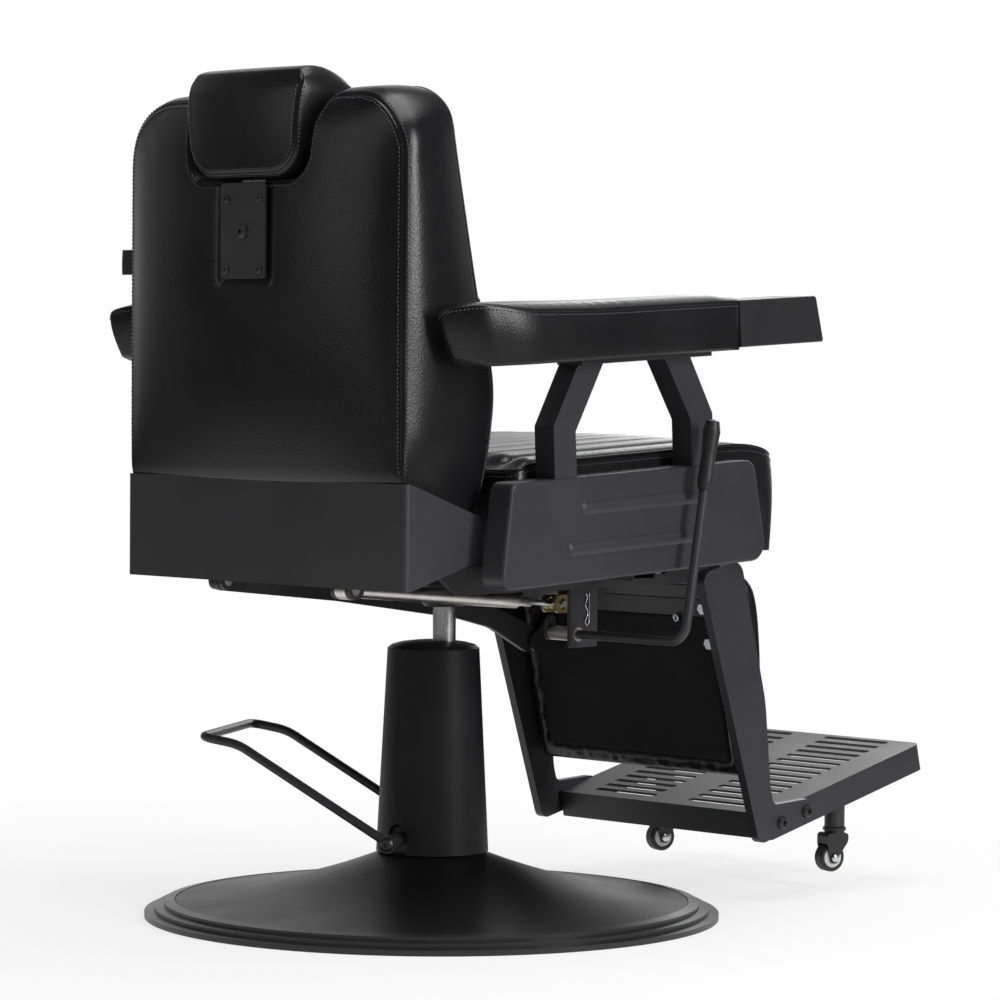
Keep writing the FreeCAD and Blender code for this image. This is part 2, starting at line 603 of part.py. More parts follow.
def back_cushion(board, plate, guide):
    # Plan sections from the foot to the crown, the front line following the lumbar curve
    rows = [(BACK_BASE_Z, 235.0, 184.0, 1.0, 8.0), (570.0, 236.0, 162.0, 14.0, 10.0),
            (650.0, 237.0, 154.0, 24.0, 16.0), (744.0, 238.0, 180.0, 28.5, 16.0),
            (850.0, 238.0, 201.0, 28.5, 14.0), (930.0, 237.0, 217.0, 28.0, 12.0)]
    crest = [(964.0, 227.0, 217.0, 24.0, 10.0, 294.0), (BACK_TOP, 186.0, 232.0, 8.0, 3.0, 268.0)]
    body = Part.makeLoft([back_section(*row) for row in rows], True, False)
    top = Part.makeLoft([back_section(*row) for row in rows[-1:] + crest], True, False)
    body = body.fuse(top)
    n = NOTCH_HALF
    notch = [V(-n + 6, 0, NOTCH_Z), V(n - 6, 0, NOTCH_Z), V(n, 0, 950), V(n + 12, 0, BACK_TOP + 20),
             V(-n - 12, 0, BACK_TOP + 20), V(-n, 0, 950)]
    body = body.cut(slab(notch, [NOTCH_R, NOTCH_R, 60, 0, 0, 60], V(0, 400, 0)))
    body = body.cut(block(-300, 300, 205, 400, 400, POCKET_Z))
    for side in (1, -1):
        lane = sorted((side * (SIDE_IN - 14), side * (HINGE_X + HINGE_T + 6)))
        body = body.cut(block(lane[0], lane[1], 100, 300, 400, POCKET_Z))
    return body.cut(board).cut(plate).cut(guide)


def skirt():
    # One sheet folded round the foot of the back, its side wings tapering forward
    h, r = SKIRT_HALF, SKIRT_REAR
    z = SKIRT_BOTTOM
    outer = [V(-h, SKIRT_FRONT, z), V(h, SKIRT_FRONT, z), V(h, r, z), V(-h, r, z)]
    inner = [V(-h + SHEET, SKIRT_FRONT - 5, z), V(h - SHEET, SKIRT_FRONT - 5, z),
             V(h - SHEET, r - SHEET, z), V(-h + SHEET, r - SHEET, z)]
    tall = V(0, 0, SKIRT_TOP - SKIRT_BOTTOM)
    sheet = slab(outer, [0, 0, 9, 9], tall).cut(slab(inner, [0, 0, 6.5, 6.5], tall))
    wings = side_slab([(r + 5, SKIRT_BOTTOM), (r + 5, SKIRT_TOP), (r - 10, SKIRT_TOP), (SKIRT_FRONT, 498),
                       (SKIRT_FRONT, 449), (r - 10, SKIRT_BOTTOM)],
                      [0, 0, 20, 10, 10, 20], -h - 5, h + 5)
    return sheet.common(wings)


def crank_plate(x0, x1, eye):
    by = BACK_BOARD_Y
    cy, cz = eye
    outline = [(by, 478), (by, 534), (by - 20, 534), (cy - 14, cz + 14), (cy - 12, cz - 11),
               (cy + 11, cz - 11), (cy + 11.5, cz + 14)]
    plate = side_slab(outline, [0, 0, 0, 12, 10, 10, 6], x0, x1)
    return plate.cut(x_pin(x0 - 1, x1 + 1, eye, LINK_PIN_R))


def back_bracket():
    # Steel strap across the board with the two hinge plates and the four crank plates
    by, bz = BACK_PIVOT
    strap = block(-205, 205, BACK_BOARD_Y - 6, BACK_BOARD_Y, 478, 534)
    outline = [(BACK_BOARD_Y, 478), (BACK_BOARD_Y, 534), (by + 4, 534), (by - 19, bz + 19),
               (by - 19, bz - 19), (by + 14, bz - 19)]
    hinge = side_slab(outline, [0, 0, 10, 18, 18, 10], HINGE_X, HINGE_X + HINGE_T)
    hinge = hinge.cut(x_pin(HINGE_X - 1, HINGE_X + HINGE_T + 1, BACK_PIVOT, PIN_R + RUN))
    half = LINK_T / 2 + 2
    cranks = [crank_plate(LINK_X - half - 6, LINK_X - half, LINK_EYE),
              crank_plate(LINK_X + half, LINK_X + half + 6, LINK_EYE)]
    inside, outside = STRUT_R + 1, STRUT_R + 7
    cranks += [crank_plate(STRUT_X - outside, STRUT_X - inside, STRUT_EYE),
               crank_plate(STRUT_X + inside, STRUT_X + outside, STRUT_EYE)]
    return fused(strap, hinge, mirrored(hinge), *cranks)


def crank_pins():
    half = LINK_T / 2 + 2 + 6
    link_pin = x_pin(LINK_X - half, LINK_X + half, LINK_EYE, LINK_PIN_R)
    strut_pin = x_pin(STRUT_X - 16, STRUT_X + 16, STRUT_EYE, LINK_PIN_R)
    return Part.makeCompound([link_pin, strut_pin])


def back_parts():
    top_w = 222.0
    y0, y1 = BACK_BOARD_Y, BACK_BOARD_Y + BACK_BOARD_T
    gap, gap_z = NOTCH_HALF + 8, NOTCH_Z - 12
    corners = [(top_w, 470), (top_w, 950), (gap, 950), (gap, gap_z), (-gap, gap_z), (-gap, 950),
               (-top_w, 950)]
    outline = [V(-top_w, y0, 470)] + [V(x, y0, z) for x, z in corners]
    board = slab(outline, [0, 0, 30, 10, 10, 10, 10, 30], V(0, BACK_BOARD_T, 0))
    cleats = [block(x - 25, x + 25, y1, SKIRT_REAR - SHEET, 474, 532) for x in (-185, 0, 185)]
    plate_y = BACK_REAR + BACK_CROWN - 1.5
    plate = slab([V(-39, plate_y, 770), V(39, plate_y, 770), V(39, plate_y, 881), V(-39, plate_y, 881)],
                 4.0, V(0, 3, 0))
    half = POST_HALF + 4
    sleeve = block(-half, half, POST_Y - 4, POST_Y + POST_T + 5, POST_FOOT - 8, NOTCH_Z)
    sleeve = sleeve.fuse(block(-half, half, POST_Y, plate_y, 775, NOTCH_Z)).removeSplitter()
    channel = block(-POST_HALF - RUN, POST_HALF + RUN, POST_Y - RUN, POST_Y + POST_T + RUN, POST_FOOT - 2,
                    NOTCH_Z + 1)
    guide = sleeve.cut(channel)
    cushion = back_cushion(board.fuse(block(-205, 205, y0 - 6, y0, 478, 536)), plate, sleeve)
    save(cushion, "back_cushion")
    save(fused(board, *cleats), "back_board")
    save(guide, "headrest_guide")
    save(skirt(), "back_skirt")
    save(back_bracket(), "back_bracket")
    save(crank_pins(), "crank_pins")
    save(plate, "headrest_plate")
    head = socket_head(5.0, 2.8, 1.7).rotated(V(0, 0, 0), AXIS_X, -90)
    screws = [head.translated(V(x, plate_y + 3, z)) for x in (-29, 29) for z in (781, 863)]
    stud = socket_head(8.5, 5.0, 2.6).rotated(V(0, 0, 0), AXIS_X, -90)
    screws.append(stud.translated(V(0, plate_y + 3, 825)))
    save(Part.makeCompound(screws), "headrest_plate_screws")


def headrest_parts():
    profile = [(320, 893), (336, 896), (340, 950), (332, 1010), (302, 1020), (246, 1002), (220, 968),
               (216, 925), (232, 890)]
    body = side_slab(profile, [10, 8, 60, 22, 40, 60, 25, 30, 18], -HEAD_HALF, HEAD_HALF)
    front = [V(-HEAD_HALF + 5, 0, 880), V(HEAD_HALF - 5, 0, 880), V(HEAD_HALF, 0, 1020),
             V(-HEAD_HALF, 0, 1020)]
    body = body.common(slab(front, [30, 30, 20, 20], V(0, 400, 0)))
    a, b = V(-HEAD_HALF - 1, 328, 880), V(HEAD_HALF + 1, 328, 880)
    c, d = V(HEAD_HALF + 1, 228, 880), V(-HEAD_HALF - 1, 228, 880)
    plan = Part.Wire([Part.Arc(a, V(0, 341, 880), b).toShape(), Part.LineSegment(b, c).toShape(),
                      Part.Arc(c, V(0, 214, 880), d).toShape(), Part.LineSegment(d, a).toShape()])
    body = body.common(Part.Face(plan).extrude(V(0, 0, 160)))
    post = block(-POST_HALF, POST_HALF, POST_Y, POST_Y + POST_T, POST_FOOT, 985)
    save(body.cut(post), "headrest_cushion")
    save(post, "headrest_post")


def link_bar():
    # Arched flat bar from the crank on the back to the lug on the legrest
    ay, az = LINK_EYE
    cy, cz = LEG_LUG
    upper = [(ay + 11, az + 11), (ay - 16, az + 11), (170, 406), (62, 399), (-140, 374), (-212, 360),
             (cy - 13, cz + 13)]
    lower = [(cy - 13, cz - 13), (cy + 14, cz - 13), (-198, 337), (-140, 351), (62, 380),
             (ay + 11, az - 11)]
    bar = side_slab(upper + lower, [10, 20, 60, 200, 120, 90, 12, 12, 20, 60, 120, 200, 10],
                    LINK_X - LINK_T / 2, LINK_X + LINK_T / 2)
    for at in (LINK_EYE, LEG_LUG):
        bar = bar.cut(x_pin(LINK_X - 20, LINK_X + 20, at, LINK_PIN_R + RUN))
    return bar


def strut_parts():
    ay, az = STRUT_EYE
    py, pz = STRUT_PIN
    start = V(STRUT_X, py, pz)
    end = V(STRUT_X, ay, az)
    along = (end - start).normalize()
    length = start.distanceToPoint(end)
    nose = 70.0
    tube = Part.makeCylinder(STRUT_R, length - nose - 8, start + along * nose, along)
    eye = x_pin(STRUT_X - STRUT_R, STRUT_X + STRUT_R, STRUT_EYE, 11.5)
    tube = fused(tube, eye).cut(x_pin(STRUT_X - 10, STRUT_X + 10, STRUT_EYE, LINK_PIN_R + RUN))
    bore = Part.makeCylinder(STRUT_ROD_R + RUN, 182, start + along * (nose - 1), along)
    save(tube.cut(bore), "lock_cylinder")
    rod = Part.makeCylinder(STRUT_ROD_R, 150, start + along * 46, along)
    stud = Part.makeCylinder(3.5, 50, start, along)
    knuckle = x_pin(STRUT_X - 8, STRUT_X + 8, STRUT_PIN, 6.5)
    pin = x_pin(STRUT_X - 15, STRUT_X + 15, STRUT_PIN, STRUT_PIN_R)
    save(fused(rod, stud, knuckle, pin), "lock_rod")


def leg_arm():
    rear_top, front_top = (45, 30), (-28, 30)
    outline = [rear_top, front_top, (-33, -156), (-18, -266), (-19, -287), (-84, -299.5), (-100, -314),
               (-92, -328), (17, -328)]
    radii = [14, 18, 200, 60, 9, 10, 8, 10, 12]
    arm = side_slab(outline, radii, LEG_ARM_IN, LEG_ARM_IN + LEG_ARM_T)
    return arm.cut(x_pin(LEG_ARM_IN - 1, LEG_ARM_IN + PIN_REACH + 0.4, (0, 0), PIN_R + RUN))


def foot_plate():
    top, low = FOOT_TOP, FOOT_TOP - FOOT_RIM
    rear, front = FOOT_REAR, FOOT_REAR - FOOT_DEPTH
    corners = [V(-FOOT_HALF, rear, low), V(FOOT_HALF, rear, low), V(FOOT_HALF, front, low),
               V(-FOOT_HALF, front, low)]
    pan = slab(corners, [3, 3, 12, 12], V(0, 0, FOOT_RIM))
    wall = 3.0
    hollow = [V(-FOOT_HALF + wall, rear - wall, low), V(FOOT_HALF - wall, rear - wall, low),
              V(FOOT_HALF - wall, front + wall, low), V(-FOOT_HALF + wall, front + wall, low)]
    pan = pan.cut(slab(hollow, [2, 2, 9, 9], V(0, 0, FOOT_RIM - wall)))
    slots = []
    for row in range(SLOT_ROWS):
        y = SLOT_FIRST - row * SLOT_PITCH
        for x0, x1 in ((SLOT_INNER, SLOT_OUTER), (-SLOT_OUTER, -SLOT_INNER)):
            ends = [V(x0, y - SLOT_W / 2, top - 10), V(x1, y - SLOT_W / 2, top - 10),
                    V(x1, y + SLOT_W / 2, top - 10), V(x0, y + SLOT_W / 2, top - 10)]
            slots.append(slab(ends, SLOT_W / 2 - 0.05, V(0, 0, 20)))
    return pan.cut(slots)


def leg_cushion(board):
    rear = 1.0
    profile = [(rear, 4), (-66, 8), (-81, -40), (-61, -140), (-32, -225), (-18, LEG_BOTTOM),
               (rear, LEG_BOTTOM)]
    body = side_slab(profile, [4, 22, 70, 200, 60, 10, 4], -180, 180)
    a, b = V(-181, -64, -300), V(181, -64, -300)
    c, d = V(181, 10, -300), V(-181, 10, -300)
    plan = Part.Wire([Part.Arc(a, V(0, -83, -300), b).toShape(), Part.LineSegment(b, c).toShape(),
                      Part.LineSegment(c, d).toShape(), Part.LineSegment(d, a).toShape()])
    body = body.common(Part.Face(plan).extrude(V(0, 0, 400)))
    for side in (1, -1):
        lane = sorted((side * 150, side * 190))
        body = body.cut(block(lane[0], lane[1], -26, 10, -30, 40))
    return body.cut(board)


def cross_plate():
    # Plate behind the legrest board with the two ears that take the link
    plate = slab([V(-LEG_ARM_IN, 1, -90), V(150, 1, -90), V(150, 1, -36), V(40, 1, -36), V(20, 1, -16),
                  V(-160, 1, -16), V(-LEG_ARM_IN, 1, -36)], [6, 14, 14, 6, 6, 6, 6], V(0, 4, 0))
    turn = math.radians(LEG_TILT)
    cy, cz = LINK_CRANK
    y = cy * math.cos(turn) - cz * math.sin(turn)
    z = cy * math.sin(turn) + cz * math.cos(turn)
    half = LINK_T / 2 + 2
    ears = []
    for x0 in (LINK_X - half - 5, LINK_X + half):
        ear = side_slab([(3, -94), (3, -40), (y - 4, z + 14), (y + 13, z + 10), (y + 13, z - 13),
                         (y - 8, z - 13)],
                        [0, 0, 8, 12, 12, 8], x0, x0 + 5)
        ears.append(ear)
    lug = x_pin(LINK_X - half - 5, LINK_X + half + 5, (y, z), LINK_PIN_R)
    return fused(plate, *ears, lug)


def legrest_parts():
    arm = leg_arm()
    save(hung(arm), "legrest_arm_left")
    save(hung(mirrored(arm)), "legrest_arm_right")
    board = block(-165, 165, -9, 1, -228, -34)
    save(hung(board), "legrest_board")
    save(hung(leg_cushion(board)), "legrest_cushion")
    save(hung(cross_plate()), "legrest_cross_plate")
    save(hung(foot_plate()), "footplate")
    head = socket_head(8.75, 5.0, 3.2).rotated(V(0, 0, 0), V(0, 1, 0), 90)
    bolts = []
    for y in (-29, -77):
        bolt = head.translated(V(LEG_ARM_IN + LEG_ARM_T, y, FOOT_TOP - 12.8))
        bolts += [bolt, mirrored(bolt)]
    nut = hexagon(6.5, 5).rotated(V(0, 0, 0), AXIS_X, -90)
    for x, z in ((-152, -27), (-154, -72), (80, -64)):
        bolts.append(nut.translated(V(x, 5, z)))
    save(hung(Part.makeCompound(bolts)), "legrest_bolts")


def caster_fork():
    # Drawn about its stem axis: stem, flange, two cheeks with their hood, and the axle
    low = SOCKET_Z
    axle = (CASTER_TRAIL, WHEEL_Z)
    gap = WHEEL_W / 2 + 1.2
    cheek = gap + 2.5
    stem = Part.makeCylinder(STEM_R, 42, V(0, 0, low - 2))
    flange = turned([(0, low - 9.4), (13, low - 9.4), (13, low - 5.4), (15, low - 5.0), (15, low - 1.6),
                     (13.5, low - 0.4), (0, low - 0.4)])
    tip = 7.5
    outline = [(-14, low - 8), (-13, 60), (axle[0] - tip, WHEEL_Z + 3), (axle[0] - 5, WHEEL_Z - tip),
               (axle[0] + 5, WHEEL_Z - tip), (axle[0] + tip, WHEEL_Z + 3), (18, 58), (18, low - 8)]
    shell = side_slab(outline, [5, 10, 5, 4.5, 4.5, 5, 5, 5], -cheek, cheek)
    room = WHEEL_R + 2
    arch = [(axle[0] - room, 10), (axle[0] + room, 10), (axle[0] + room, WHEEL_Z + room),
            (axle[0] - room, WHEEL_Z + room)]
    wheel_room = side_slab(arch, [0, 0, room - 0.2, room - 0.2], -gap, gap)
    pin = x_pin(-cheek - 2, cheek + 2, axle, 3.0)
    return fused(shell.cut(wheel_room), stem, flange, pin)


def wheel_ring(profile):
    ring = turned(profile).rotated(V(0, 0, 0), V(0, 1, 0), 90)
    return ring.translated(V(0, CASTER_TRAIL, WHEEL_Z))


def caster_parts():
    reach = hung(block(-200, 200, FOOT_REAR - FOOT_DEPTH, FOOT_REAR, FOOT_TOP - 200, FOOT_TOP - 3))
    half = WHEEL_W / 2
    tread = [(13.05, -half), (WHEEL_R - 2.5, -half), (WHEEL_R, -half + 3), (WHEEL_R, half - 3),
             (WHEEL_R - 2.5, half), (13.05, half)]
    disc = [(3.05, -half - 0.8), (7, -half - 0.8), (13.0, -half + 1), (13.0, half - 1), (7, half + 0.8),
            (3.05, half + 0.8)]
    pieces = {"caster_fork_": caster_fork(), "caster_tyre_": wheel_ring(tread),
              "caster_disc_": wheel_ring(disc)}
    sockets = []
    for x, side in ((CASTER_X, "left"), (-CASTER_X, "right")):
        stand = V(x, CASTER_Y, 0)
        tube = Part.makeCylinder(13.0, 100, stand + V(0, 0, SOCKET_Z)).common(reach)
        bore = Part.makeCylinder(STEM_R + RUN, 44, stand + V(0, 0, SOCKET_Z - 1))
        sockets.append(tube.cut(bore))
        for name, shape in pieces.items():
            save(shape.rotated(V(0, 0, 0), AXIS_Z, CASTER_TURN).translated(stand), name + side)
    save(Part.makeCompound(sockets), "caster_sockets")


base_parts()
column_parts()
pump_parts()
pedal_parts()
frame_parts()
lock_mount_parts()
lever_parts()
arm_parts()
seat_cushion()
back_parts()
headrest_parts()
save(link_bar(), "recline_link")
strut_parts()
legrest_parts()
caster_parts()
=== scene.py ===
import math

import bmesh
import bpy
import numpy as np
from mathutils import Matrix, Vector, geometry, kdtree, noise


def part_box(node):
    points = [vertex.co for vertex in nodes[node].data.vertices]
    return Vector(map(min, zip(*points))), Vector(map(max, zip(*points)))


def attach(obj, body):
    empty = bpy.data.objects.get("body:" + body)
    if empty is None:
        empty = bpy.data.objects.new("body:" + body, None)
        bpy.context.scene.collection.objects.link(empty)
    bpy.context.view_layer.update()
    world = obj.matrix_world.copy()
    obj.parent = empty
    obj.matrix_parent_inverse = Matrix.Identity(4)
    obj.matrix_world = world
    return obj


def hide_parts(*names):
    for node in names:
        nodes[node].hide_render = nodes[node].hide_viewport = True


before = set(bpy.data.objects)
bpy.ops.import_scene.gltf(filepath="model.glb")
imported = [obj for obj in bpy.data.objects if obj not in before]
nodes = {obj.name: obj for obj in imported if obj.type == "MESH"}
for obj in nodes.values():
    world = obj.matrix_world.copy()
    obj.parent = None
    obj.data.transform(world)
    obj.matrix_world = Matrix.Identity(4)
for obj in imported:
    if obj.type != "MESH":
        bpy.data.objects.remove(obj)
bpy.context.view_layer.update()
mm = 0.001
print("frame loaded:", len(nodes), "nodes")


# finishes: every texture reads Object coordinates, so it stays with its piece

def addNode(tree, kind, settings=None, links=None, **props):
    node = tree.nodes.new(kind)
    for prop, value in props.items():
        setattr(node, prop, value)
    for socket, value in (settings or {}).items():
        node.inputs[socket].default_value = value
    for socket, source in (links or {}).items():
        tree.links.new(source, node.inputs[socket])
    return node


def combine(tree, operation, a, b):
    return addNode(tree, "ShaderNodeMath", links={0: a, 1: b}, operation=operation).outputs[0]


def remap(tree, value, low, high, first, last, **props):
    span = {"From Min": low, "From Max": high, "To Min": first, "To Max": last}
    return addNode(tree, "ShaderNodeMapRange", span, {"Value": value}, **props).outputs["Result"]


def startFinish(name, look):
    mat = bpy.data.materials.new(name)
    mat.use_nodes = True
    tree = mat.node_tree
    shader = tree.nodes["Principled BSDF"]
    for socket, value in look.items():
        shader.inputs[socket].default_value = value
    return mat, tree, shader, addNode(tree, "ShaderNodeTexCoord").outputs["Object"]


def addNoise(tree, place, scale, detail, **sockets):
    settings = {"Scale": scale, "Detail": detail, **sockets}
    return addNode(tree, "ShaderNodeTexNoise", settings, {"Vector": place}).outputs["Fac"]


noiseSpan = (0.3, 0.7)


def tint(tree, factor, low, high):
    ramp = addNode(tree, "ShaderNodeValToRGB", links={"Fac": factor})
    for stop, position, colour in zip(ramp.color_ramp.elements, noiseSpan, (low, high)):
        stop.position = position
        stop.color = (*colour, 1)
    return ramp.outputs["Color"]


def paint(tree, shader, g, tone, wear):
    tree.links.new(tint(tree, tone, g["dark"], g["pale"]), shader.inputs["Base Color"])
    tree.links.new(remap(tree, wear, *noiseSpan, *g["rough"]), shader.inputs["Roughness"])


def emboss(tree, shader, height, strength, distance, under=None):
    links = {"Height": height} if under is None else {"Height": height, "Normal": under}
    bump = addNode(tree, "ShaderNodeBump", {"Strength": strength, "Distance": distance}, links)
    tree.links.new(bump.outputs["Normal"], shader.inputs["Normal"])
    return bump.outputs["Normal"]


def grainFinish(name, g):
    mat, tree, shader, place = startFinish(name, g["look"])
    cells = addNode(tree, "ShaderNodeTexVoronoi", {"Scale": g["cells"], "Randomness": 1.0}, {"Vector": place},
                    feature="SMOOTH_F1").outputs["Distance"]
    pores = addNoise(tree, place, g["pores"], 3.0)
    clouds = addNoise(tree, place, g["clouds"], 4.0, Roughness=0.6)
    paint(tree, shader, g, clouds, clouds)
    fine = emboss(tree, shader, pores, g["poreLift"], g["poreDepth"])
    emboss(tree, shader, cells, g["cellLift"], g["cellDepth"], fine)
    return mat


def coatFinish(name, g):
    mat, tree, shader, place = startFinish(name, g["look"])
    clouds = addNoise(tree, place, g["clouds"], 5.0, Roughness=0.65)
    paint(tree, shader, g, clouds, clouds)
    emboss(tree, shader, addNoise(tree, place, g["peel"], 2.0), g["lift"], g["depth"])
    return mat


def brushedFinish(name, g):
    mat, tree, shader, place = startFinish(name, g["look"])
    lines = addNode(tree, "ShaderNodeMapping", {"Scale": g["stretch"]}, {"Vector": place})
    scratches = addNoise(tree, lines.outputs["Vector"], g["scratches"], 3.0)
    paint(tree, shader, g, addNoise(tree, place, g["clouds"], 4.0), scratches)
    emboss(tree, shader, scratches, g["lift"], g["depth"])
    return mat


def plyFinish(name, g):
    mat, tree, shader, place = startFinish(name, g["look"])
    grain = addNode(tree, "ShaderNodeMapping", {"Scale": g["grain"]}, {"Vector": place})
    figure = addNoise(tree, grain.outputs["Vector"], g["figure"], 6.0, Distortion=0.6)
    paint(tree, shader, g, figure, figure)
    emboss(tree, shader, figure, g["lift"], g["depth"])
    return mat


def weaveFinish(name, g):
    mat, tree, shader, place = startFinish(name, g["look"])
    wave = {"Scale": g["threads"], "Distortion": 1.5, "Detail": 1.0}
    warp, weft = (addNode(tree, "ShaderNodeTexWave", wave, {"Vector": place}, bands_direction=way)
                  for way in ("X", "Z"))
    crossed = combine(tree, "MULTIPLY", warp.outputs["Fac"], weft.outputs["Fac"])
    clouds = addNoise(tree, place, g["clouds"], 4.0)
    paint(tree, shader, g, clouds, clouds)
    emboss(tree, shader, crossed, g["lift"], g["depth"])
    return mat


def twoToneFinish(name, g):
    # black oxide up to a height, bright zinc above it
    mat, tree, shader, place = startFinish(name, {})
    height = addNode(tree, "ShaderNodeSeparateXYZ", links={"Vector": place}).outputs["Z"]
    above = remap(tree, height, g["split"], g["split"] + g["blend"], 0.0, 1.0)
    clouds = addNoise(tree, place, g["clouds"], 4.0)
    low, high = (tint(tree, clouds, part["dark"], part["pale"]) for part in (g["below"], g["above"]))
    both = addNode(tree, "ShaderNodeMix", links={"Factor": above}, data_type="RGBA")
    tree.links.new(low, both.inputs[6])
    tree.links.new(high, both.inputs[7])
    tree.links.new(both.outputs[2], shader.inputs["Base Color"])
    tree.links.new(above, shader.inputs["Metallic"])
    tree.links.new(remap(tree, clouds, *noiseSpan, *g["rough"]), shader.inputs["Roughness"])
    emboss(tree, shader, clouds, g["lift"], g["depth"])
    return mat


leather = {"look": {"Specular IOR Level": 0.45, "Sheen Weight": 0.02, "Sheen Roughness": 0.5},
           "dark": (0.0044, 0.0044, 0.0053), "pale": (0.0068, 0.0068, 0.008), "rough": (0.25, 0.34),
           "cells": 520.0, "cellLift": 0.4, "cellDepth": 0.00035, "pores": 1500.0, "poreLift": 0.25,
           "poreDepth": 0.00012, "clouds": 7.0}
weltLeather = dict(leather, rough=(0.26, 0.36))
satinCoat = {"look": {"Specular IOR Level": 0.5}, "dark": (0.023, 0.023, 0.0255), "pale": (0.029, 0.029, 0.032),
             "rough": (0.42, 0.5), "peel": 1300.0, "lift": 0.12, "depth": 0.0001, "clouds": 9.0}
basePaint = dict(satinCoat, dark=(0.0055, 0.0055, 0.0066), pale=(0.0085, 0.0085, 0.0096), rough=(0.4, 0.48),
                 look={"Specular IOR Level": 0.28})
columnCoat = dict(satinCoat, dark=(0.0075, 0.0075, 0.0088), pale=(0.0115, 0.0115, 0.013),
                  look={"Specular IOR Level": 0.22})
ringRubber = dict(satinCoat, dark=(0.014, 0.014, 0.0155), pale=(0.02, 0.02, 0.0215), rough=(0.34, 0.44),
                  peel=700.0)
rawIron = dict(satinCoat, dark=(0.03, 0.03, 0.03), pale=(0.06, 0.058, 0.055), rough=(0.6, 0.8), peel=350.0,
               lift=0.8)
mouldedPlastic = dict(satinCoat, dark=(0.012, 0.012, 0.0135), pale=(0.016, 0.016, 0.018), peel=900.0, lift=0.25)
treadRubber = dict(satinCoat, dark=(0.009, 0.009, 0.009), pale=(0.015, 0.015, 0.015), rough=(0.45, 0.6),
                   peel=600.0)
whiteHub = dict(satinCoat, dark=(0.62, 0.62, 0.61), pale=(0.74, 0.74, 0.73), rough=(0.3, 0.4), peel=500.0,
                lift=0.15)
boltBlack = dict(satinCoat, dark=(0.011, 0.011, 0.012), pale=(0.02, 0.02, 0.021), rough=(0.3, 0.42),
                 peel=1600.0)
threadBlack = dict(satinCoat, dark=(0.045, 0.045, 0.05), pale=(0.08, 0.08, 0.088), rough=(0.5, 0.65),
                   peel=2600.0, lift=0.6)
zinc = {"look": {"Metallic": 1.0}, "dark": (0.5, 0.51, 0.53), "pale": (0.7, 0.71, 0.73), "rough": (0.22, 0.36),
        "stretch": (1.0, 1.0, 1.0), "scratches": 900.0, "lift": 0.2, "depth": 0.00005, "clouds": 45.0}
yellowZinc = dict(zinc, dark=(0.42, 0.33, 0.16), pale=(0.62, 0.52, 0.3), rough=(0.2, 0.34))
polished = dict(zinc, dark=(0.52, 0.52, 0.53), pale=(0.78, 0.78, 0.79), rough=(0.24, 0.36),
                stretch=(1.0, 1.0, 0.06), lift=0.1)
nickel = dict(polished, dark=(0.62, 0.58, 0.54), pale=(0.76, 0.71, 0.67), rough=(0.3, 0.44),
              stretch=(1.0, 0.05, 1.0))
stainedPly = {"look": {"Specular IOR Level": 0.3}, "dark": (0.01, 0.009, 0.008), "pale": (0.022, 0.019, 0.016),
              "rough": (0.55, 0.7), "grain": (6.0, 60.0, 60.0), "figure": 3.0, "lift": 0.3, "depth": 0.0003}
mixedBolts = {"split": 0.2, "blend": 0.01, "below": boltBlack, "above": zinc, "rough": (0.25, 0.4),
              "clouds": 160.0, "lift": 0.2, "depth": 0.0001}
dustCloth = {"look": {"Specular IOR Level": 0.15, "Sheen Weight": 0.05}, "dark": (0.011, 0.011, 0.012),
             "pale": (0.018, 0.018, 0.0195), "rough": (0.75, 0.9), "threads": 500.0, "lift": 0.6,
             "depth": 0.0002, "clouds": 30.0}
tagWeave = dict(dustCloth, look={"Specular IOR Level": 0.3, "Sheen Weight": 0.1}, dark=(0.004, 0.004, 0.0045),
                pale=(0.009, 0.009, 0.0095), rough=(0.55, 0.7), threads=420.0)

finishes = {
    "leatherette": grainFinish("leatherette", leather),
    "black_frame": coatFinish("satinCoat", satinCoat),
    "base_paint": coatFinish("basePaint", basePaint),
    "base_rubber": coatFinish("ringRubber", ringRubber),
    "base_iron": coatFinish("rawIron", rawIron),
    "black_plastic": coatFinish("mouldedPlastic", mouldedPlastic),
    "wheel_rubber": coatFinish("treadRubber", treadRubber),
    "white_plastic": coatFinish("whiteHub", whiteHub),
    "polished_steel": brushedFinish("polishedSteel", polished),
    "zinc_steel": brushedFinish("zincSteel", zinc),
    "black_bolts": coatFinish("boltBlack", boltBlack),
    "nickel": brushedFinish("nickelTube", nickel),
    "yellow_zinc": brushedFinish("yellowZinc", yellowZinc),
    "plywood": plyFinish("stainedPly", stainedPly),
    "dust": weaveFinish("dustCloth", dustCloth),
    "weave": weaveFinish("tagWeave", tagWeave),
}
threadFinish = coatFinish("seamThread", threadBlack)
weltFinish = grainFinish("weltLeather", weltLeather)

for node in nodes.values():
    for holder in node.material_slots:
        holder.material = finishes[holder.material.name.split(".")[0]]
nodes["column_cover"].material_slots[0].material = coatFinish("columnCoat", columnCoat)
nodes["legrest_bolts"].material_slots[0].material = twoToneFinish("legrestBolts", mixedBolts)
print("finishes set on the solids")


# sewn pads: a face panel and a back panel over two outlines, joined by a boxing strip

def addObject(name, data):
    piece = bpy.data.objects.new(name, data)
    bpy.context.scene.collection.objects.link(piece)
    return piece


def toPlainMesh(piece):
    drawn = piece.data
    depsgraph = bpy.context.evaluated_depsgraph_get()
    mesh = bpy.data.meshes.new_from_object(piece.evaluated_get(depsgraph))
    piece.modifiers.clear()
    piece.data = mesh
    bpy.data.meshes.remove(drawn)
    mesh.name = piece.name
    return mesh


def smoothStep(low, high, value):
    t = min(max((value - low) / (high - low), 0.0), 1.0)
    return t * t * (3 - 2 * t)


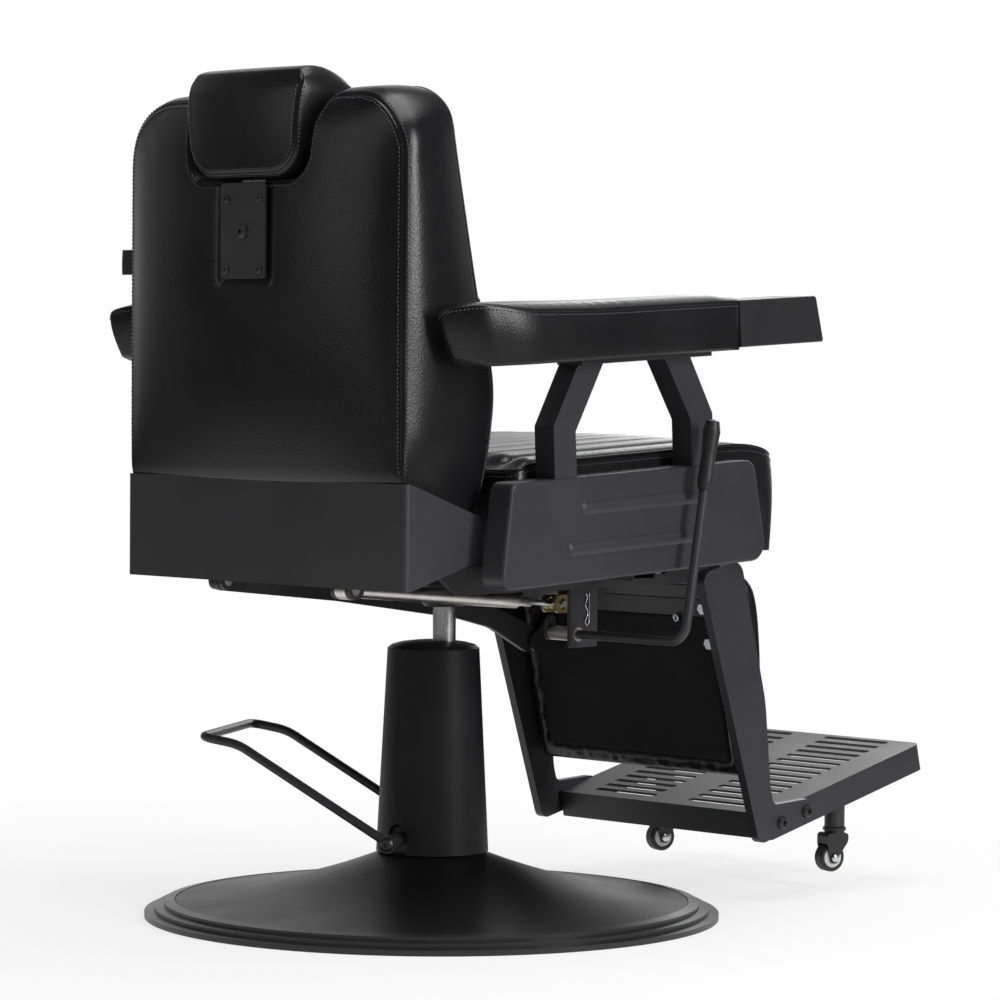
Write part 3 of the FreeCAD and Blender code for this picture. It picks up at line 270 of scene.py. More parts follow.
def curveThrough(rows):
    xs = [r[0] for r in rows]
    ys = [r[1] for r in rows]
    last = len(xs) - 1
    slopes = [(ys[min(i + 1, last)] - ys[max(i - 1, 0)]) / (xs[min(i + 1, last)] - xs[max(i - 1, 0)])
              for i in range(len(xs))]

    def at(x):
        x = min(max(x, xs[0]), xs[-1])
        i = max(j for j in range(last) if xs[j] <= x) if x > xs[0] else 0
        h = xs[i + 1] - xs[i]
        t = (x - xs[i]) / h
        a, b = 2 * t ** 3 - 3 * t ** 2 + 1, t ** 3 - 2 * t ** 2 + t
        return a * ys[i] + b * h * slopes[i] + (1 - a) * ys[i + 1] + (t ** 3 - t ** 2) * h * slopes[i + 1]
    return at


def outlineOf(corners, step, counts=None):
    runs = []
    for i, (u, v, r) in enumerate(corners):
        at = Vector((u, v))
        before = Vector(corners[i - 1][:2]) - at
        after = Vector(corners[(i + 1) % len(corners)][:2]) - at
        before.normalize()
        after.normalize()
        if r == 0:
            runs.append([at])
            continue
        angle = before.angle(after)
        reach = r / math.tan(angle / 2)
        middle = at + (before + after).normalized() * (r / math.sin(angle / 2))
        start, end = at + before * reach - middle, at + after * reach - middle
        sweep = math.pi - angle
        n = counts[len(runs)][0] if counts else max(2, round(r * sweep / step))
        arc = [(start * math.sin(sweep * (1 - k / n)) + end * math.sin(sweep * k / n)) / math.sin(sweep)
               for k in range(n + 1)]
        runs.append([middle + p for p in arc])
    loop, used = [], []
    for i, run in enumerate(runs):
        a, b = run[-1], runs[(i + 1) % len(runs)][0]
        n = counts[i][1] if counts else max(1, round((b - a).length / step))
        loop += run + [a.lerp(b, k / n) for k in range(1, n)]
        used.append((len(run) - 1, n))
    return loop, used


def inwardAt(loop, k):
    along = (loop[(k + 1) % len(loop)] - loop[k - 1]).normalized()
    return Vector((-along.y, along.x))


def nearTree(points):
    tree = kdtree.KDTree(len(points))
    for i, p in enumerate(points):
        tree.insert((p.x, p.y, 0), i)
    tree.balance()
    return tree


def insideLoop(loop, points):
    outline = np.array([p[:] for p in loop])
    inside = np.zeros(len(points), bool)
    for a, b in zip(outline, np.roll(outline, -1, 0)):
        crosses = (a[1] > points[:, 1]) != (b[1] > points[:, 1])
        with np.errstate(divide="ignore", invalid="ignore"):
            at = a[0] + (points[:, 1] - a[1]) * (b[0] - a[0]) / (b[1] - a[1])
        inside ^= crosses & (points[:, 0] < at)
    return inside


fill = {"hemRoom": 0.9, "pointRoom": 0.62, "weld": 1e-4}


def fillPanel(loop, lines, guides, step, hem):
    border = list(loop)
    edges = []
    for line in lines:
        ids = list(range(len(border), len(border) + len(line)))
        border += line
        edges += list(zip(ids, ids[1:]))
    border += guides
    rim = nearTree(loop)
    hemIds = [None] * len(loop)
    for reach in hem:
        for k in range(len(loop)):
            q = loop[k] + inwardAt(loop, k) * reach
            if rim.find((q.x, q.y, 0))[2] > fill["hemRoom"] * reach:
                hemIds[k] = len(border)
                border.append(q)
    tree = nearTree(border)
    outline = np.array([p[:] for p in loop])
    low, high = outline.min(0), outline.max(0)
    rise = step * math.sqrt(3) / 2
    inner = []
    for j in range(int((high[1] - low[1]) / rise) + 1):
        for i in range(int((high[0] - low[0]) / step) + 1):
            inner.append((low[0] + (i + 0.5 * (j % 2)) * step, low[1] + j * rise))
    inner = np.array(inner)
    inner = inner[insideLoop(loop, inner)]
    room = fill["pointRoom"] * step
    points = border + [Vector(p) for p in inner if tree.find((p[0], p[1], 0))[2] > room]
    woven = geometry.delaunay_2d_cdt(points, edges, [list(range(len(loop)))], 1, fill["weld"])
    origin = {}
    for i, sources in enumerate(woven[3]):
        for s in sources:
            origin[s] = i
    return woven[0], woven[2], origin, hemIds


def stripStops(p, length):
    scale = min(1.0, length / (4 * p["hem"][-1]))
    hem = [h * scale for h in p["hem"]]
    gap = (length - 2 * hem[-1]) / p["rows"]
    stops = hem + [hem[-1] + gap * i for i in range(1, p["rows"])] + [length - h for h in reversed(hem)]
    return [s / length for s in stops]


def stripPoint(p, seams, k, t):
    loop = seams["faceLoop"]
    out = inwardAt(loop, k) * -1
    return p["stripAt"](t, seams["faceAt"][k], seams["backAt"][k], loop[k], out)


def sewPad(name, p):
    verts, faces, seams = [], [], {"lines": []}
    counts = None
    for side in ("face", "back"):
        loop, counts = outlineOf(p[side], p["step"], counts)
        lines = p.get(side + "Lines", [])
        flat, tris, origin, hemIds = fillPanel(loop, lines, p.get(side + "Guides", []), p["step"], p["hem"])
        base = len(verts)
        verts += [p[side + "At"](q.x, q.y) for q in flat]
        faces += [[base + i for i in t] for t in tris]
        seams[side] = [base + origin[i] for i in range(len(loop))]
        seams[side + "Loop"] = loop
        seams[side + "At"] = [verts[i] for i in seams[side]]
        seams[side + "Panel"] = range(base, len(verts))
        seams[side + "Hem"] = [None if i is None else base + origin[i] for i in hemIds]
        start = len(loop)
        for line in lines:
            seams["lines"].append([base + origin[i] for i in range(start, start + len(line))])
            start += len(line)
    n = len(seams["face"])
    stops = [stripStops(p, max((a - b).length, 1.0)) for a, b in zip(seams["faceAt"], seams["backAt"])]
    rings = [seams["face"]]
    for r in range(len(stops[0])):
        rings.append(list(range(len(verts), len(verts) + n)))
        verts += [stripPoint(p, seams, k, stops[k][r]) for k in range(n)]
    rings.append(seams["back"])
    seams["faceGusset"] = rings[len(p["hem"])]
    for a, b in zip(rings, rings[1:]):
        faces += [[a[k], a[(k + 1) % n], b[(k + 1) % n], b[k]] for k in range(n)]
    for u, v in p.get("columns", []):
        k = min(range(n), key=lambda i: (seams["faceLoop"][i] - Vector((u, v))).length)
        seams["lines"].append([ring[k] for ring in rings])
    mesh = bpy.data.meshes.new(name)
    mesh.from_pydata([tuple(v * mm) for v in verts], [], faces)
    bm = bmesh.new()
    bm.from_mesh(mesh)
    bm.verts.ensure_lookup_table()
    bmesh.ops.recalc_face_normals(bm, faces=bm.faces)
    bm.normal_update()
    crease = bm.edges.layers.float.new("crease_edge")
    sewn, sunk = set(), set()
    for side in ("face", "back"):
        ids, loop = seams[side], seams[side + "Loop"]
        isOpen = p.get(side + "Open", lambda q: False)
        closed = [not isOpen(q) for q in loop]
        sewn |= {frozenset((ids[k - 1], ids[k])) for k in range(n) if closed[k - 1] and closed[k]}
        if side in p["sunk"]:
            sunk |= {ids[k] for k in range(n) if closed[k]}
    for ids in seams["lines"]:
        sewn |= {frozenset(e) for e in zip(ids, ids[1:])}
        sunk |= set(ids)
    for edge in bm.edges:
        if frozenset(v.index for v in edge.verts) in sewn:
            edge[crease] = 1.0
    isFirm = p.get("firm", lambda q: False)
    pulls = {i: bm.verts[i].normal * p["sink"] * mm for i in sunk if not isFirm(verts[i])}
    for i, pull in pulls.items():
        bm.verts[i].co -= pull
    bm.to_mesh(mesh)
    bm.free()
    seams["sewn"] = {i for pair in sewn for i in pair}
    return addObject(name, mesh), seams


cover = {"frames": 14, "passes": 8, "still": 1e-7}
clothSettings = {"use_pressure": True, "uniform_pressure_force": 5.0, "quality": 4, "mass": 0.3,
                 "air_damping": 4, "tension_stiffness": 30, "compression_stiffness": 30,
                 "shear_stiffness": 12, "bending_stiffness": 6}


def coverPad(piece, pinned):
    group = piece.vertex_groups.new(name="sewn")
    group.add(sorted(pinned), 1.0, "REPLACE")
    cloth = piece.modifiers.new("cover", "CLOTH")
    cloth.settings.vertex_group_mass = group.name
    cloth.settings.effector_weights.gravity = 0
    for setting, value in clothSettings.items():
        setattr(cloth.settings, setting, value)
    cloth.collision_settings.use_collision = False
    cloth.collision_settings.use_self_collision = False
    cloth.point_cache.frame_end = cover["frames"]


def settle(mesh, moved, cap):
    # the cover's travel, evened out over neighbours and held under the cap
    count = len(mesh.vertices)
    start = np.empty(count * 3)
    mesh.vertices.foreach_get("co", start)
    start = start.reshape(-1, 3)
    travel = np.array(moved) - start
    held = np.linalg.norm(travel, axis=1) < cover["still"]
    pairs = np.empty(len(mesh.edges) * 2, int)
    mesh.edges.foreach_get("vertices", pairs)
    a, b = pairs.reshape(-1, 2).T
    degree = np.bincount(a, minlength=count) + np.bincount(b, minlength=count)
    for _ in range(cover["passes"]):
        total = np.zeros_like(travel)
        np.add.at(total, a, travel[b])
        np.add.at(total, b, travel[a])
        travel = 0.5 * travel + 0.5 * total / degree[:, None]
        travel[held] = 0
    size = np.linalg.norm(travel, axis=1, keepdims=True)
    travel *= cap * mm * np.tanh(size / (cap * mm)) / np.maximum(size, 1e-9)
    mesh.vertices.foreach_set("co", (start + travel).ravel())


def finishPad(piece, p, moved):
    if moved is not None:
        settle(piece.data, moved, p["cap"])
    piece.modifiers.clear()
    piece.vertex_groups.clear()
    soften = piece.modifiers.new("soften", "SUBSURF")
    soften.levels = soften.render_levels = 1
    mesh = toPlainMesh(piece)
    for face in mesh.polygons:
        face.use_smooth = True
    mesh.materials.clear()
    mesh.materials.append(finishes["leatherette"])


fluteRound = 2.6


def flutes(p, x):
    t = (x + p["half"]) / (2 * p["half"]) * p["flutes"]
    if t <= 0 or t >= p["flutes"]:
        return 0.0
    return 1 - abs(2 * (t - math.floor(t)) - 1) ** fluteRound


def fluteEdge(p, i, parts=1):
    return -p["half"] + 2 * p["half"] * i / (p["flutes"] * parts)


def lineUp(u, low, high, step):
    n = max(2, round((high - low) / step))
    return [Vector((u, low + (high - low) * k / n)) for k in range(n + 1)]


def everywhere(q):
    return True


pads = {}


# backrest pad: rear panel, boxing strip, fluted front with a notch for the headrest
back = {"step": 7.0, "rows": 10, "hem": (2.0, 4.2), "sink": 2.2, "sunk": ("face", "back"), "cap": 4.0,
        "fill": 0.85, "flutes": 7, "half": 236.0, "rise": 4.0, "edgeX": 238, "swell": 6.5, "press": 4.0,
        "plateY": 328.4, "plateSlope": 0.05, "plateReach": 12, "lowBand": (535, 605), "drop": (0.5, 0.8),
        "stepBand": (205, 230), "hook": (298, 207), "peak": 0.25, "notchBand": (112, 130), "notchCalm": 0.6,
        "seamFrom": 545, "weltFrom": 500, "rimTop": 878, "fluteTop": 982.0, "fluteFoot": 497.0,
        "notch": (104, 872.0), "tab": (150, 198, 526.0), "underSkirt": (541, 190),
        "pressed": (42, 766, 885, 310)}


def mirrored(half):
    return half + [(-x, z, r) for x, z, r in reversed(half)]


notchRear = mirrored([(120, 979, 14), (108.5, 948, 40), (103, 881, 37)])
notchFront = mirrored([(120, 990, 14), (108, 950, 40), (103, 881, 37)])
back["face"] = [(-238, 533, 4), *((x, 533, 0) for x in (-198, -186, -162, -150, 150, 162, 186, 198)),
                (238, 533, 4), (238, 979, 75), *notchRear, (-238, 979, 75)]
back["back"] = [(-234, 492, 5), (-198, 492, 0), (-198, 521, 0), (-150, 521, 0), (-150, 492, 0), (150, 492, 0),
                (150, 521, 0), (198, 521, 0), (198, 492, 0), (234, 492, 5), (235, 990, 54), *notchFront,
                (-235, 990, 54)]
rearLine = curveThrough([(532, 293.0), (540, 296.5), (556, 298.0), (930, 297.5), (964, 294.0), (982, 287.0)])
rearCrown = curveThrough([(532, 3.0), (540, 5.0), (570, 12.0), (650, 23.0), (744, 28.0), (850, 28.0),
                          (930, 26.0), (964, 19.0), (982, 12.0)])
frontLine = curveThrough([(490, 181.0), (570, 160.0), (650, 152.0), (744, 176.0), (850, 199.0), (930, 215.5),
                          (964, 221.0), (992, 232.0)])
frontCrown = curveThrough([(490, 7.0), (570, 9.0), (650, 14.0), (744, 14.0), (850, 12.0), (930, 10.0),
                           (964, 8.0), (992, 2.0)])
plateBox = [c / mm for c in (*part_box("headrest_plate")[0], *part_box("headrest_plate")[1])]


def backFaceAt(x, z):
    y = rearLine(z) + rearCrown(z) * (1 - min(abs(x) / back["edgeX"], 1) ** 2.5)
    overX = max(abs(x) - plateBox[3], 0)
    overZ = max(plateBox[2] - z, z - plateBox[5], 0)
    gap = math.hypot(overX, overZ)
    y = min(y, back["plateY"] + gap * back["plateSlope"])
    return Vector((x, y - back["press"] * (1 - smoothStep(0, back["plateReach"], gap)), z))


def platesRim(reach, step):
    x, low, high = plateBox[3] + reach, plateBox[2] - reach, plateBox[5] + reach
    loop = outlineOf([(-x, low, reach), (x, low, reach), (x, high, reach), (-x, high, reach)], step)[0]
    return [q for q in loop if q.y < back["rimTop"]]


def backFrontAt(x, z):
    y = frontLine(z) - frontCrown(z) * (1 - min(abs(x) / back["half"], 1) ** 2)
    return Vector((x, y - back["rise"] * flutes(back, x), z))


def backStripAt(t, a, b, at, out):
    low = 1 - smoothStep(*back["lowBand"], a.z)
    step = low * (1 - smoothStep(*back["stepBand"], abs(at.x)))
    start, end = back["drop"]
    rear, front = back["hook"]
    p = a.lerp(b, t)
    p.z = a.z + (b.z - a.z) * (t + (smoothStep(start, end, t) - t) * step)
    hook = rear + (front - rear) * min(t / start, 1)
    if t >= end:
        hook = front + (b.y - front) * (t - end) / (1 - end)
    p.y += (hook - p.y) * step
    peak = back["peak"]
    rise = 1 - (1 - t / peak) ** 2 if t < peak else 1 - ((t - peak) / (1 - peak)) ** 2
    inNotch = 1 - smoothStep(*back["notchBand"], abs(at.x))
    swell = back["swell"] * rise * (1 - low) * (1 - back["notchCalm"] * inNotch)
    return p + Vector((out.x, 0, out.y)) * swell


back["faceAt"], back["backAt"], back["stripAt"] = backFaceAt, backFrontAt, backStripAt
back["faceGuides"] = platesRim(1.5, 4.0) + platesRim(5.0, 4.0) + platesRim(9.0, 5.0)
back["backLines"] = []
notchX, notchFoot = back["notch"]
tabIn, tabOut, tabFoot = back["tab"]
for x in (fluteEdge(back, i) for i in range(1, back["flutes"])):
    foot = tabFoot if tabIn < abs(x) < tabOut else back["fluteFoot"]
    top = notchFoot if abs(x) < notchX else back["fluteTop"]
    back["backLines"].append(lineUp(x, foot, top, back["step"]))


def aboveSkirt(q):
    return q.y > back["seamFrom"]


def besideSkirt(q):
    return aboveSkirt(q) or (q.y > back["weltFrom"] and abs(q.x) > back["stepBand"][0])


back["stitches"] = [("face", "Hem", aboveSkirt), ("face", "Gusset", aboveSkirt)]
back["welts"] = [("back", 2.0, besideSkirt)]
pads["backPad"] = (back, ("back_cushion",), "backrest")


# seat pad: fluted top with a plain border, boxing strip, flat underside on the board
tiltAbout = Vector((0, 0, 430))
seatTilt = (Matrix.Translation(tiltAbout) @ Matrix.Rotation(math.radians(-3), 4, "X")
            @ Matrix.Translation(-tiltAbout))
seat = {"step": 8.0, "rows": 8, "hem": (2.4, 6.0), "sink": 1.8, "sunk": ("face",), "cap": 3.0, "fill": 0.85,
        "flutes": 9, "half": 217.0, "rise": 6.0, "perFlute": 6, "edgeX": 250, "edgeZ": 564.5, "border": 33,
        "borderRise": 3.5, "borderBulge": 20, "crown": 5, "rearY": 127, "rearEdge": 557.0, "rearFade": (-6, 36),
        "fluteFade": (4, 30), "fluteRun": (-310.0, 106.0), "blend": 0.3, "level": 560, "foot": 461,
        "frontDrop": 31, "frontBand": (298, 306), "bow": 4.0}
seat["face"] = [(-250, 127, 14), (-250, -331, 24), (250, -331, 24), (250, 127, 14)]
seat["back"] = [(-247, 126, 12), (-247, -328, 20), (247, -328, 20), (247, 126, 12)]
frontRoll = curveThrough([(-334, 540.0), (-327, 545.0), (-316, 551.0), (-304, 556.5), (-284, 562.5),
                          (-258, 569.0), (-239, 573.5), (-200, 580.0), (-100, 592.0), (200, 620.0)])


def seatTopAt(x, y):
    border = min((seat["edgeX"] - abs(x)) / seat["border"], 1)
    z = seat["edgeZ"] + seat["borderRise"] * border + seat["borderBulge"] * border * (1 - border)
    rear = seat["rearY"] - y
    if abs(x) < seat["half"]:
        ridges = flutes(seat, x) * smoothStep(*seat["fluteFade"], rear)
        z += seat["crown"] * (1 - (x / seat["half"]) ** 2) + seat["rise"] * ridges
    z = seat["rearEdge"] + (z - seat["rearEdge"]) * smoothStep(*seat["rearFade"], rear)
    # the lower of the top and the front roll, blended
    blend, level = seat["blend"], seat["level"]
    both = math.exp(-blend * (z - level)) + math.exp(-blend * (frontRoll(y) - level))
    return seatTilt @ Vector((x, y, level - math.log(both) / blend))


def seatFootAt(x, y):
    return seatTilt @ Vector((x, y, seat["foot"] - seat["frontDrop"] * smoothStep(*seat["frontBand"], -y)))


def seatStripAt(t, a, b, at, out):
    return a.lerp(b, t) + Vector((out.x, out.y, 0)) * seat["bow"] * math.sin(math.pi * t ** 0.7)


seat["faceAt"], seat["backAt"], seat["stripAt"] = seatTopAt, seatFootAt, seatStripAt
seat["faceLines"] = [lineUp(fluteEdge(seat, i), *seat["fluteRun"], seat["step"])
                     for i in range(seat["flutes"] + 1)]
seat["faceGuides"] = [Vector((fluteEdge(seat, i, seat["perFlute"]), y))
                      for i in range(seat["flutes"] * seat["perFlute"] + 1) if i % seat["perFlute"]
                      for y in range(-314, 116, 8)]
seat["welts"] = [("face", 2.0, everywhere)]
seat["stitches"] = [("face", "Gusset", everywhere)]
pads["seatPad"] = (seat, ("seat_cushion",), "seat")


# headrest pad: rear panel running over the top, gusset round the sides and foot, front panel
head = {"step": 5.0, "rows": 12, "hem": (1.8, 4.0), "sink": 1.8, "sunk": ("face", "back"), "cap": 2.6,
        "fill": 0.85, "half": 100, "rearRound": 7.5, "frontRound": 5, "bow": 4.0, "sag": 5.0, "crest": 14.0,
        "seamTo": 990}
head["face"] = [(-88.5, 892.5, 40), (88.5, 892.5, 40), (99.5, 1006, 11), (-99.5, 1006, 11)]
head["back"] = [(-87, 892, 36), (87, 892, 36), (98, 992, 13), (-98, 992, 13)]
headRear = curveThrough([(890, 332.0), (905, 335.5), (950, 338.5), (985, 336.5), (1008, 328.0)])
headFront = curveThrough([(890, 231.0), (925, 218.0), (968, 222.0), (994, 238.0)])


def headFaceAt(x, z):
    return Vector((x, headRear(z) - head["rearRound"] * (abs(x) / head["half"]) ** 2.5, z))


def headBackAt(x, z):
    return Vector((x, headFront(z) + head["frontRound"] * (x / head["half"]) ** 2, z))


def headStripAt(t, a, b, at, out):
    crest = smoothStep(0, 0.5, out.y)
    bulge = math.sin(math.pi * t ** 0.9) ** 0.6
    side = head["bow"] * math.sin(math.pi * t ** 0.7) * (1 - crest)
    foot = head["sag"] * max(-out.y, 0) * math.sin(math.pi * t ** 0.6)
    swell = Vector((out.x, 0, min(out.y, 0))) * (side + foot)
    return a.lerp(b, t) + swell + Vector((0, 0, head["crest"] * crest * bulge))


head["faceAt"], head["backAt"], head["stripAt"] = headFaceAt, headBackAt, headStripAt
head["faceOpen"] = lambda q: q.y > 999 and abs(q.x) < 93
head["backOpen"] = lambda q: q.y > 987 and abs(q.x) < 91
head["columns"] = [(-96, 1001), (96, 1001)]


def belowCrest(q):
    return q.y < head["seamTo"]


head["stitches"] = [("face", "Hem", belowCrest), ("face", "Gusset", belowCrest)]
head["welts"] = []
pads["headPad"] = (head, ("headrest_cushion",), "headrest")


# legrest pad: deep at the calf, thin at the heel, its cover folded over the board behind
legHang = Matrix.Translation((0, -300, 398)) @ Matrix.Rotation(math.radians(-13.5), 4, "X")
leg = {"step": 6.5, "rows": 7, "hem": (2.0, 4.5), "sink": 1.6, "sunk": ("face",), "cap": 3.5, "fill": 0.8,
       "boardX": 176, "boardZ": -244, "edgeX": 178, "edgeRoll": 34, "edgeFall": 7.0, "round": 0.14, "half": 180,
       "fold": 21.0, "foldLift": 3.6, "pleat": 0.55, "rear": 3.4, "bow": 2.5, "foldTop": -40.0, "foldStep": 5.0}
leg["face"] = [(-178, -245, 22), (178, -245, 22), (178.2, -60, 60), (178, 5, 26), (-178, 5, 26),
               (-178.2, -60, 60)]
leg["back"] = [(-176, -244, 12), (176, -244, 12), (176, -34, 6), (147, 2, 6), (-147, 2, 6), (-176, -34, 6)]
legFront = curveThrough([(-248, -20.0), (-225, -33.0), (-190, -45.0), (-140, -60.0), (-90, -71.0), (-40, -77.0),
                         (-12, -72.0), (8, -56.0)])


def legFaceAt(x, z):
    edge = max(min((leg["edgeX"] - abs(x)) / leg["edgeRoll"], 1), 0)
    y = legFront(z) * (1 - leg["round"] * (x / leg["half"]) ** 2) + leg["edgeFall"] * (1 - edge) ** 2
    return legHang @ Vector((x, y, z))


def legRearAt(x, z):
    fromSide, fromFoot = leg["boardX"] - abs(x), z - leg["boardZ"]
    inset = min(fromSide, fromFoot)
    fold = 0.0
    if inset < leg["fold"]:
        along = z if fromSide < fromFoot else x
        pleat = noise.noise((along * 0.09, inset * 0.22, 3.7))
        pleat += 0.6 * noise.noise((along * 0.25, inset * 0.3, 9.1))
        fold = math.sin(math.pi * max(inset, 0) / leg["fold"]) ** 0.7 * (1 + leg["pleat"] * pleat)
    return legHang @ Vector((x, leg["rear"] + leg["foldLift"] * max(fold, 0), z))


def legStripAt(t, a, b, at, out):
    return a.lerp(b, t) + legHang.to_3x3() @ Vector((out.x, 0, out.y)) * leg["bow"] * math.sin(math.pi * t)


leg["faceAt"], leg["backAt"], leg["stripAt"] = legFaceAt, legRearAt, legStripAt
foldX, foldZ = leg["boardX"] - leg["fold"], leg["boardZ"] + leg["fold"]
foldUp = [lineUp(x, foldZ, leg["foldTop"], leg["foldStep"]) for x in (-foldX, foldX)]
foldAcross = [Vector((-foldX + 2 * foldX * k / 60, foldZ)) for k in range(1, 60)]
leg["backLines"] = [foldUp[0][::-1] + foldAcross + foldUp[1]]
leg["welts"] = [("face", 2.0, everywhere)]
leg["stitches"] = []
pads["legPad"] = (leg, ("legrest_cushion",), "legrest")


# armrest pads: crowned top panel, gusset round the sides and the bent rear end, flat underside;
# both are one pattern, drawn by distance from the chair's middle for the right-hand side
arm = {"step": 6.0, "rows": 5, "hem": (1.6, 3.6), "sink": 1.5, "sunk": ("face", "back"), "cap": 2.5,
       "fill": 0.9, "middle": 290.5, "half": 34.0, "inner": 256.5, "front": -187.6, "rear": 250.0, "tip": 12.0,
       "top": 739.5, "crown": 10.5, "climb": 5, "climbBand": (20, 230), "foot": 682.5, "footRise": 8,
       "footRear": 237, "bow": 3.0, "firmTo": -168, "pinnedTo": -180}
arm["face"] = [(257, arm["front"], 0), (324, arm["front"], 0), (324, 170, 140), (301, 242, 46),
               (arm["inner"], arm["rear"], 6)]
arm["back"] = [(259.5, arm["front"], 0), (321.5, arm["front"], 0), (321.5, 162, 130), (299, 228, 44),
               (259, arm["footRear"], 8)]


def armTopAt(x, y):
    fromRear, fromFront = arm["rear"] - y, y - arm["front"]
    across = 1 - min(abs(x - arm["middle"]) / arm["half"], 1) ** 2.8
    ends = (0.6 + 0.4 * smoothStep(0, 24, fromRear)) * (0.75 + 0.25 * smoothStep(0, 40, fromFront))
    over = max(arm["tip"] - (fromRear + x - arm["inner"]) / math.sqrt(2), 0)
    fall = arm["tip"] - math.sqrt(max(arm["tip"] ** 2 - over ** 2, 0))
    seam = arm["top"] + arm["climb"] * smoothStep(*arm["climbBand"], y) - fall
    return seatTilt @ Vector((-x, y, seam + arm["crown"] * across * ends))


def armFootAt(x, y):
    lift = arm["footRise"] * (1 - smoothStep(0, 30, arm["footRear"] - y))
    return seatTilt @ Vector((-x, y, arm["foot"] + lift))


def armStripAt(t, a, b, at, out):
    bow = arm["bow"] * math.sin(math.pi * t ** 0.8) * (1 if out.y > -0.7 else 0)
    return a.lerp(b, t) + Vector((-out.x, out.y, 0)) * bow


arm["faceAt"], arm["backAt"], arm["stripAt"] = armTopAt, armFootAt, armStripAt
arm["columns"] = [(258, 248), (257, arm["front"]), (324, arm["front"])]
arm["faceGuides"] = [Vector((264.5 + 6.5 * i, y)) for i in range(9) for y in range(-178, 146, 7)]
arm["firm"] = lambda q: q.y < arm["firmTo"]
arm["stitches"] = [("face", "Gusset", lambda q: q.y > arm["front"] + 1)]
arm["welts"] = []
pads["armPadRight"] = (arm, ("armrest_pad_right",), "seat")


made = {}
for name, (p, stands, body) in pads.items():
    piece, seams = sewPad(name, p)
    made[name] = (piece, seams, p, stands, body)
    print(name, "sewn:", len(piece.data.vertices), "points")


def pinnedIds(name, piece, seams):
    ids = set(seams["sewn"])
    pts = [v.co / mm for v in piece.data.vertices]
    if name == "backPad":
        skirtTop, skirtRear = back["underSkirt"]
        halfX, low, high, rear = back["pressed"]
        ids |= {i for i, q in enumerate(pts) if q.z < skirtTop and q.y > skirtRear}
        ids |= {i for i, q in enumerate(pts) if abs(q.x) < halfX and low < q.z < high and q.y > rear}
    if name in ("seatPad", "legPad", "armPadRight"):
        ids |= set(seams["backPanel"]) | set(seams["back"])
    if name == "armPadRight":
        ids |= {i for i, q in enumerate(pts) if q.y < arm["pinnedTo"]}
    return ids


rest = {}
for name, (piece, seams, p, stands, body) in made.items():
    coverPad(piece, pinnedIds(name, piece, seams))
for f in range(1, cover["frames"] + 1):
    bpy.context.scene.frame_set(f)
depsgraph = bpy.context.evaluated_depsgraph_get()
for name, entry in made.items():
    settled = entry[0].evaluated_get(depsgraph).data
    rest[name] = [v.co.copy() for v in settled.vertices]
bpy.context.scene.frame_set(1)
print("covers settled over", cover["frames"], "frames")

for name, (piece, seams, p, stands, body) in made.items():
    finishPad(piece, p, rest.get(name))


# seams: thread and piping laid on the settled covers

def startTree(name, inputs):
    tree = bpy.data.node_groups.new(name, "GeometryNodeTree")
    for label, kind in [("Geometry", "NodeSocketGeometry"), *inputs]:
        tree.interface.new_socket(label, in_out="INPUT", socket_type=kind)
    tree.interface.new_socket("Geometry", in_out="OUTPUT", socket_type="NodeSocketGeometry")
    start = tree.nodes.new("NodeGroupInput")
    curve = addNode(tree, "GeometryNodeMeshToCurve", links={"Mesh": start.outputs["Geometry"]})
    return tree, start.outputs, curve.outputs[0]


def endTree(tree, shape, material):
    whole = addNode(tree, "GeometryNodeRealizeInstances", links={"Geometry": shape})
    smooth = addNode(tree, "GeometryNodeSetShadeSmooth", links={"Geometry": whole.outputs["Geometry"]})
    coloured = addNode(tree, "GeometryNodeSetMaterial",
                       links={"Geometry": smooth.outputs["Geometry"], "Material": material})
    tree.links.new(coloured.outputs["Geometry"], tree.nodes.new("NodeGroupOutput").inputs[0])
    return tree


def stitchTree():
    tree, given, curve = startTree("stitchRun", [("Pitch", "NodeSocketFloat"), ("Size", "NodeSocketVector"),
                                                 ("Thread", "NodeSocketMaterial")])
    spaced = addNode(tree, "GeometryNodeCurveToPoints", links={"Curve": curve, "Length": given["Pitch"]},
                     mode="LENGTH").outputs
    turned = addNode(tree, "FunctionNodeAlignRotationToVector", links={"Vector": spaced["Tangent"]}, axis="X")
    bead = addNode(tree, "GeometryNodeMeshIcoSphere", {"Radius": 1.0, "Subdivisions": 1})
    rows = addNode(tree, "GeometryNodeInstanceOnPoints", links={
        "Points": spaced["Points"], "Instance": bead.outputs["Mesh"], "Rotation": turned.outputs["Rotation"],
        "Scale": given["Size"]})
    return endTree(tree, rows.outputs["Instances"], given["Thread"])


def cordTree():
    tree, given, curve = startTree("cordRun", [("Radius", "NodeSocketFloat"), ("Cover", "NodeSocketMaterial")])
    ring = addNode(tree, "GeometryNodeCurvePrimitiveCircle", {"Resolution": 10}, {"Radius": given["Radius"]})
    tube = addNode(tree, "GeometryNodeCurveToMesh", {"Fill Caps": True},
                   {"Curve": curve, "Profile Curve": ring.outputs["Curve"]})
    return endTree(tree, tube.outputs["Mesh"], given["Cover"])


stitchNodes, cordNodes = stitchTree(), cordTree()


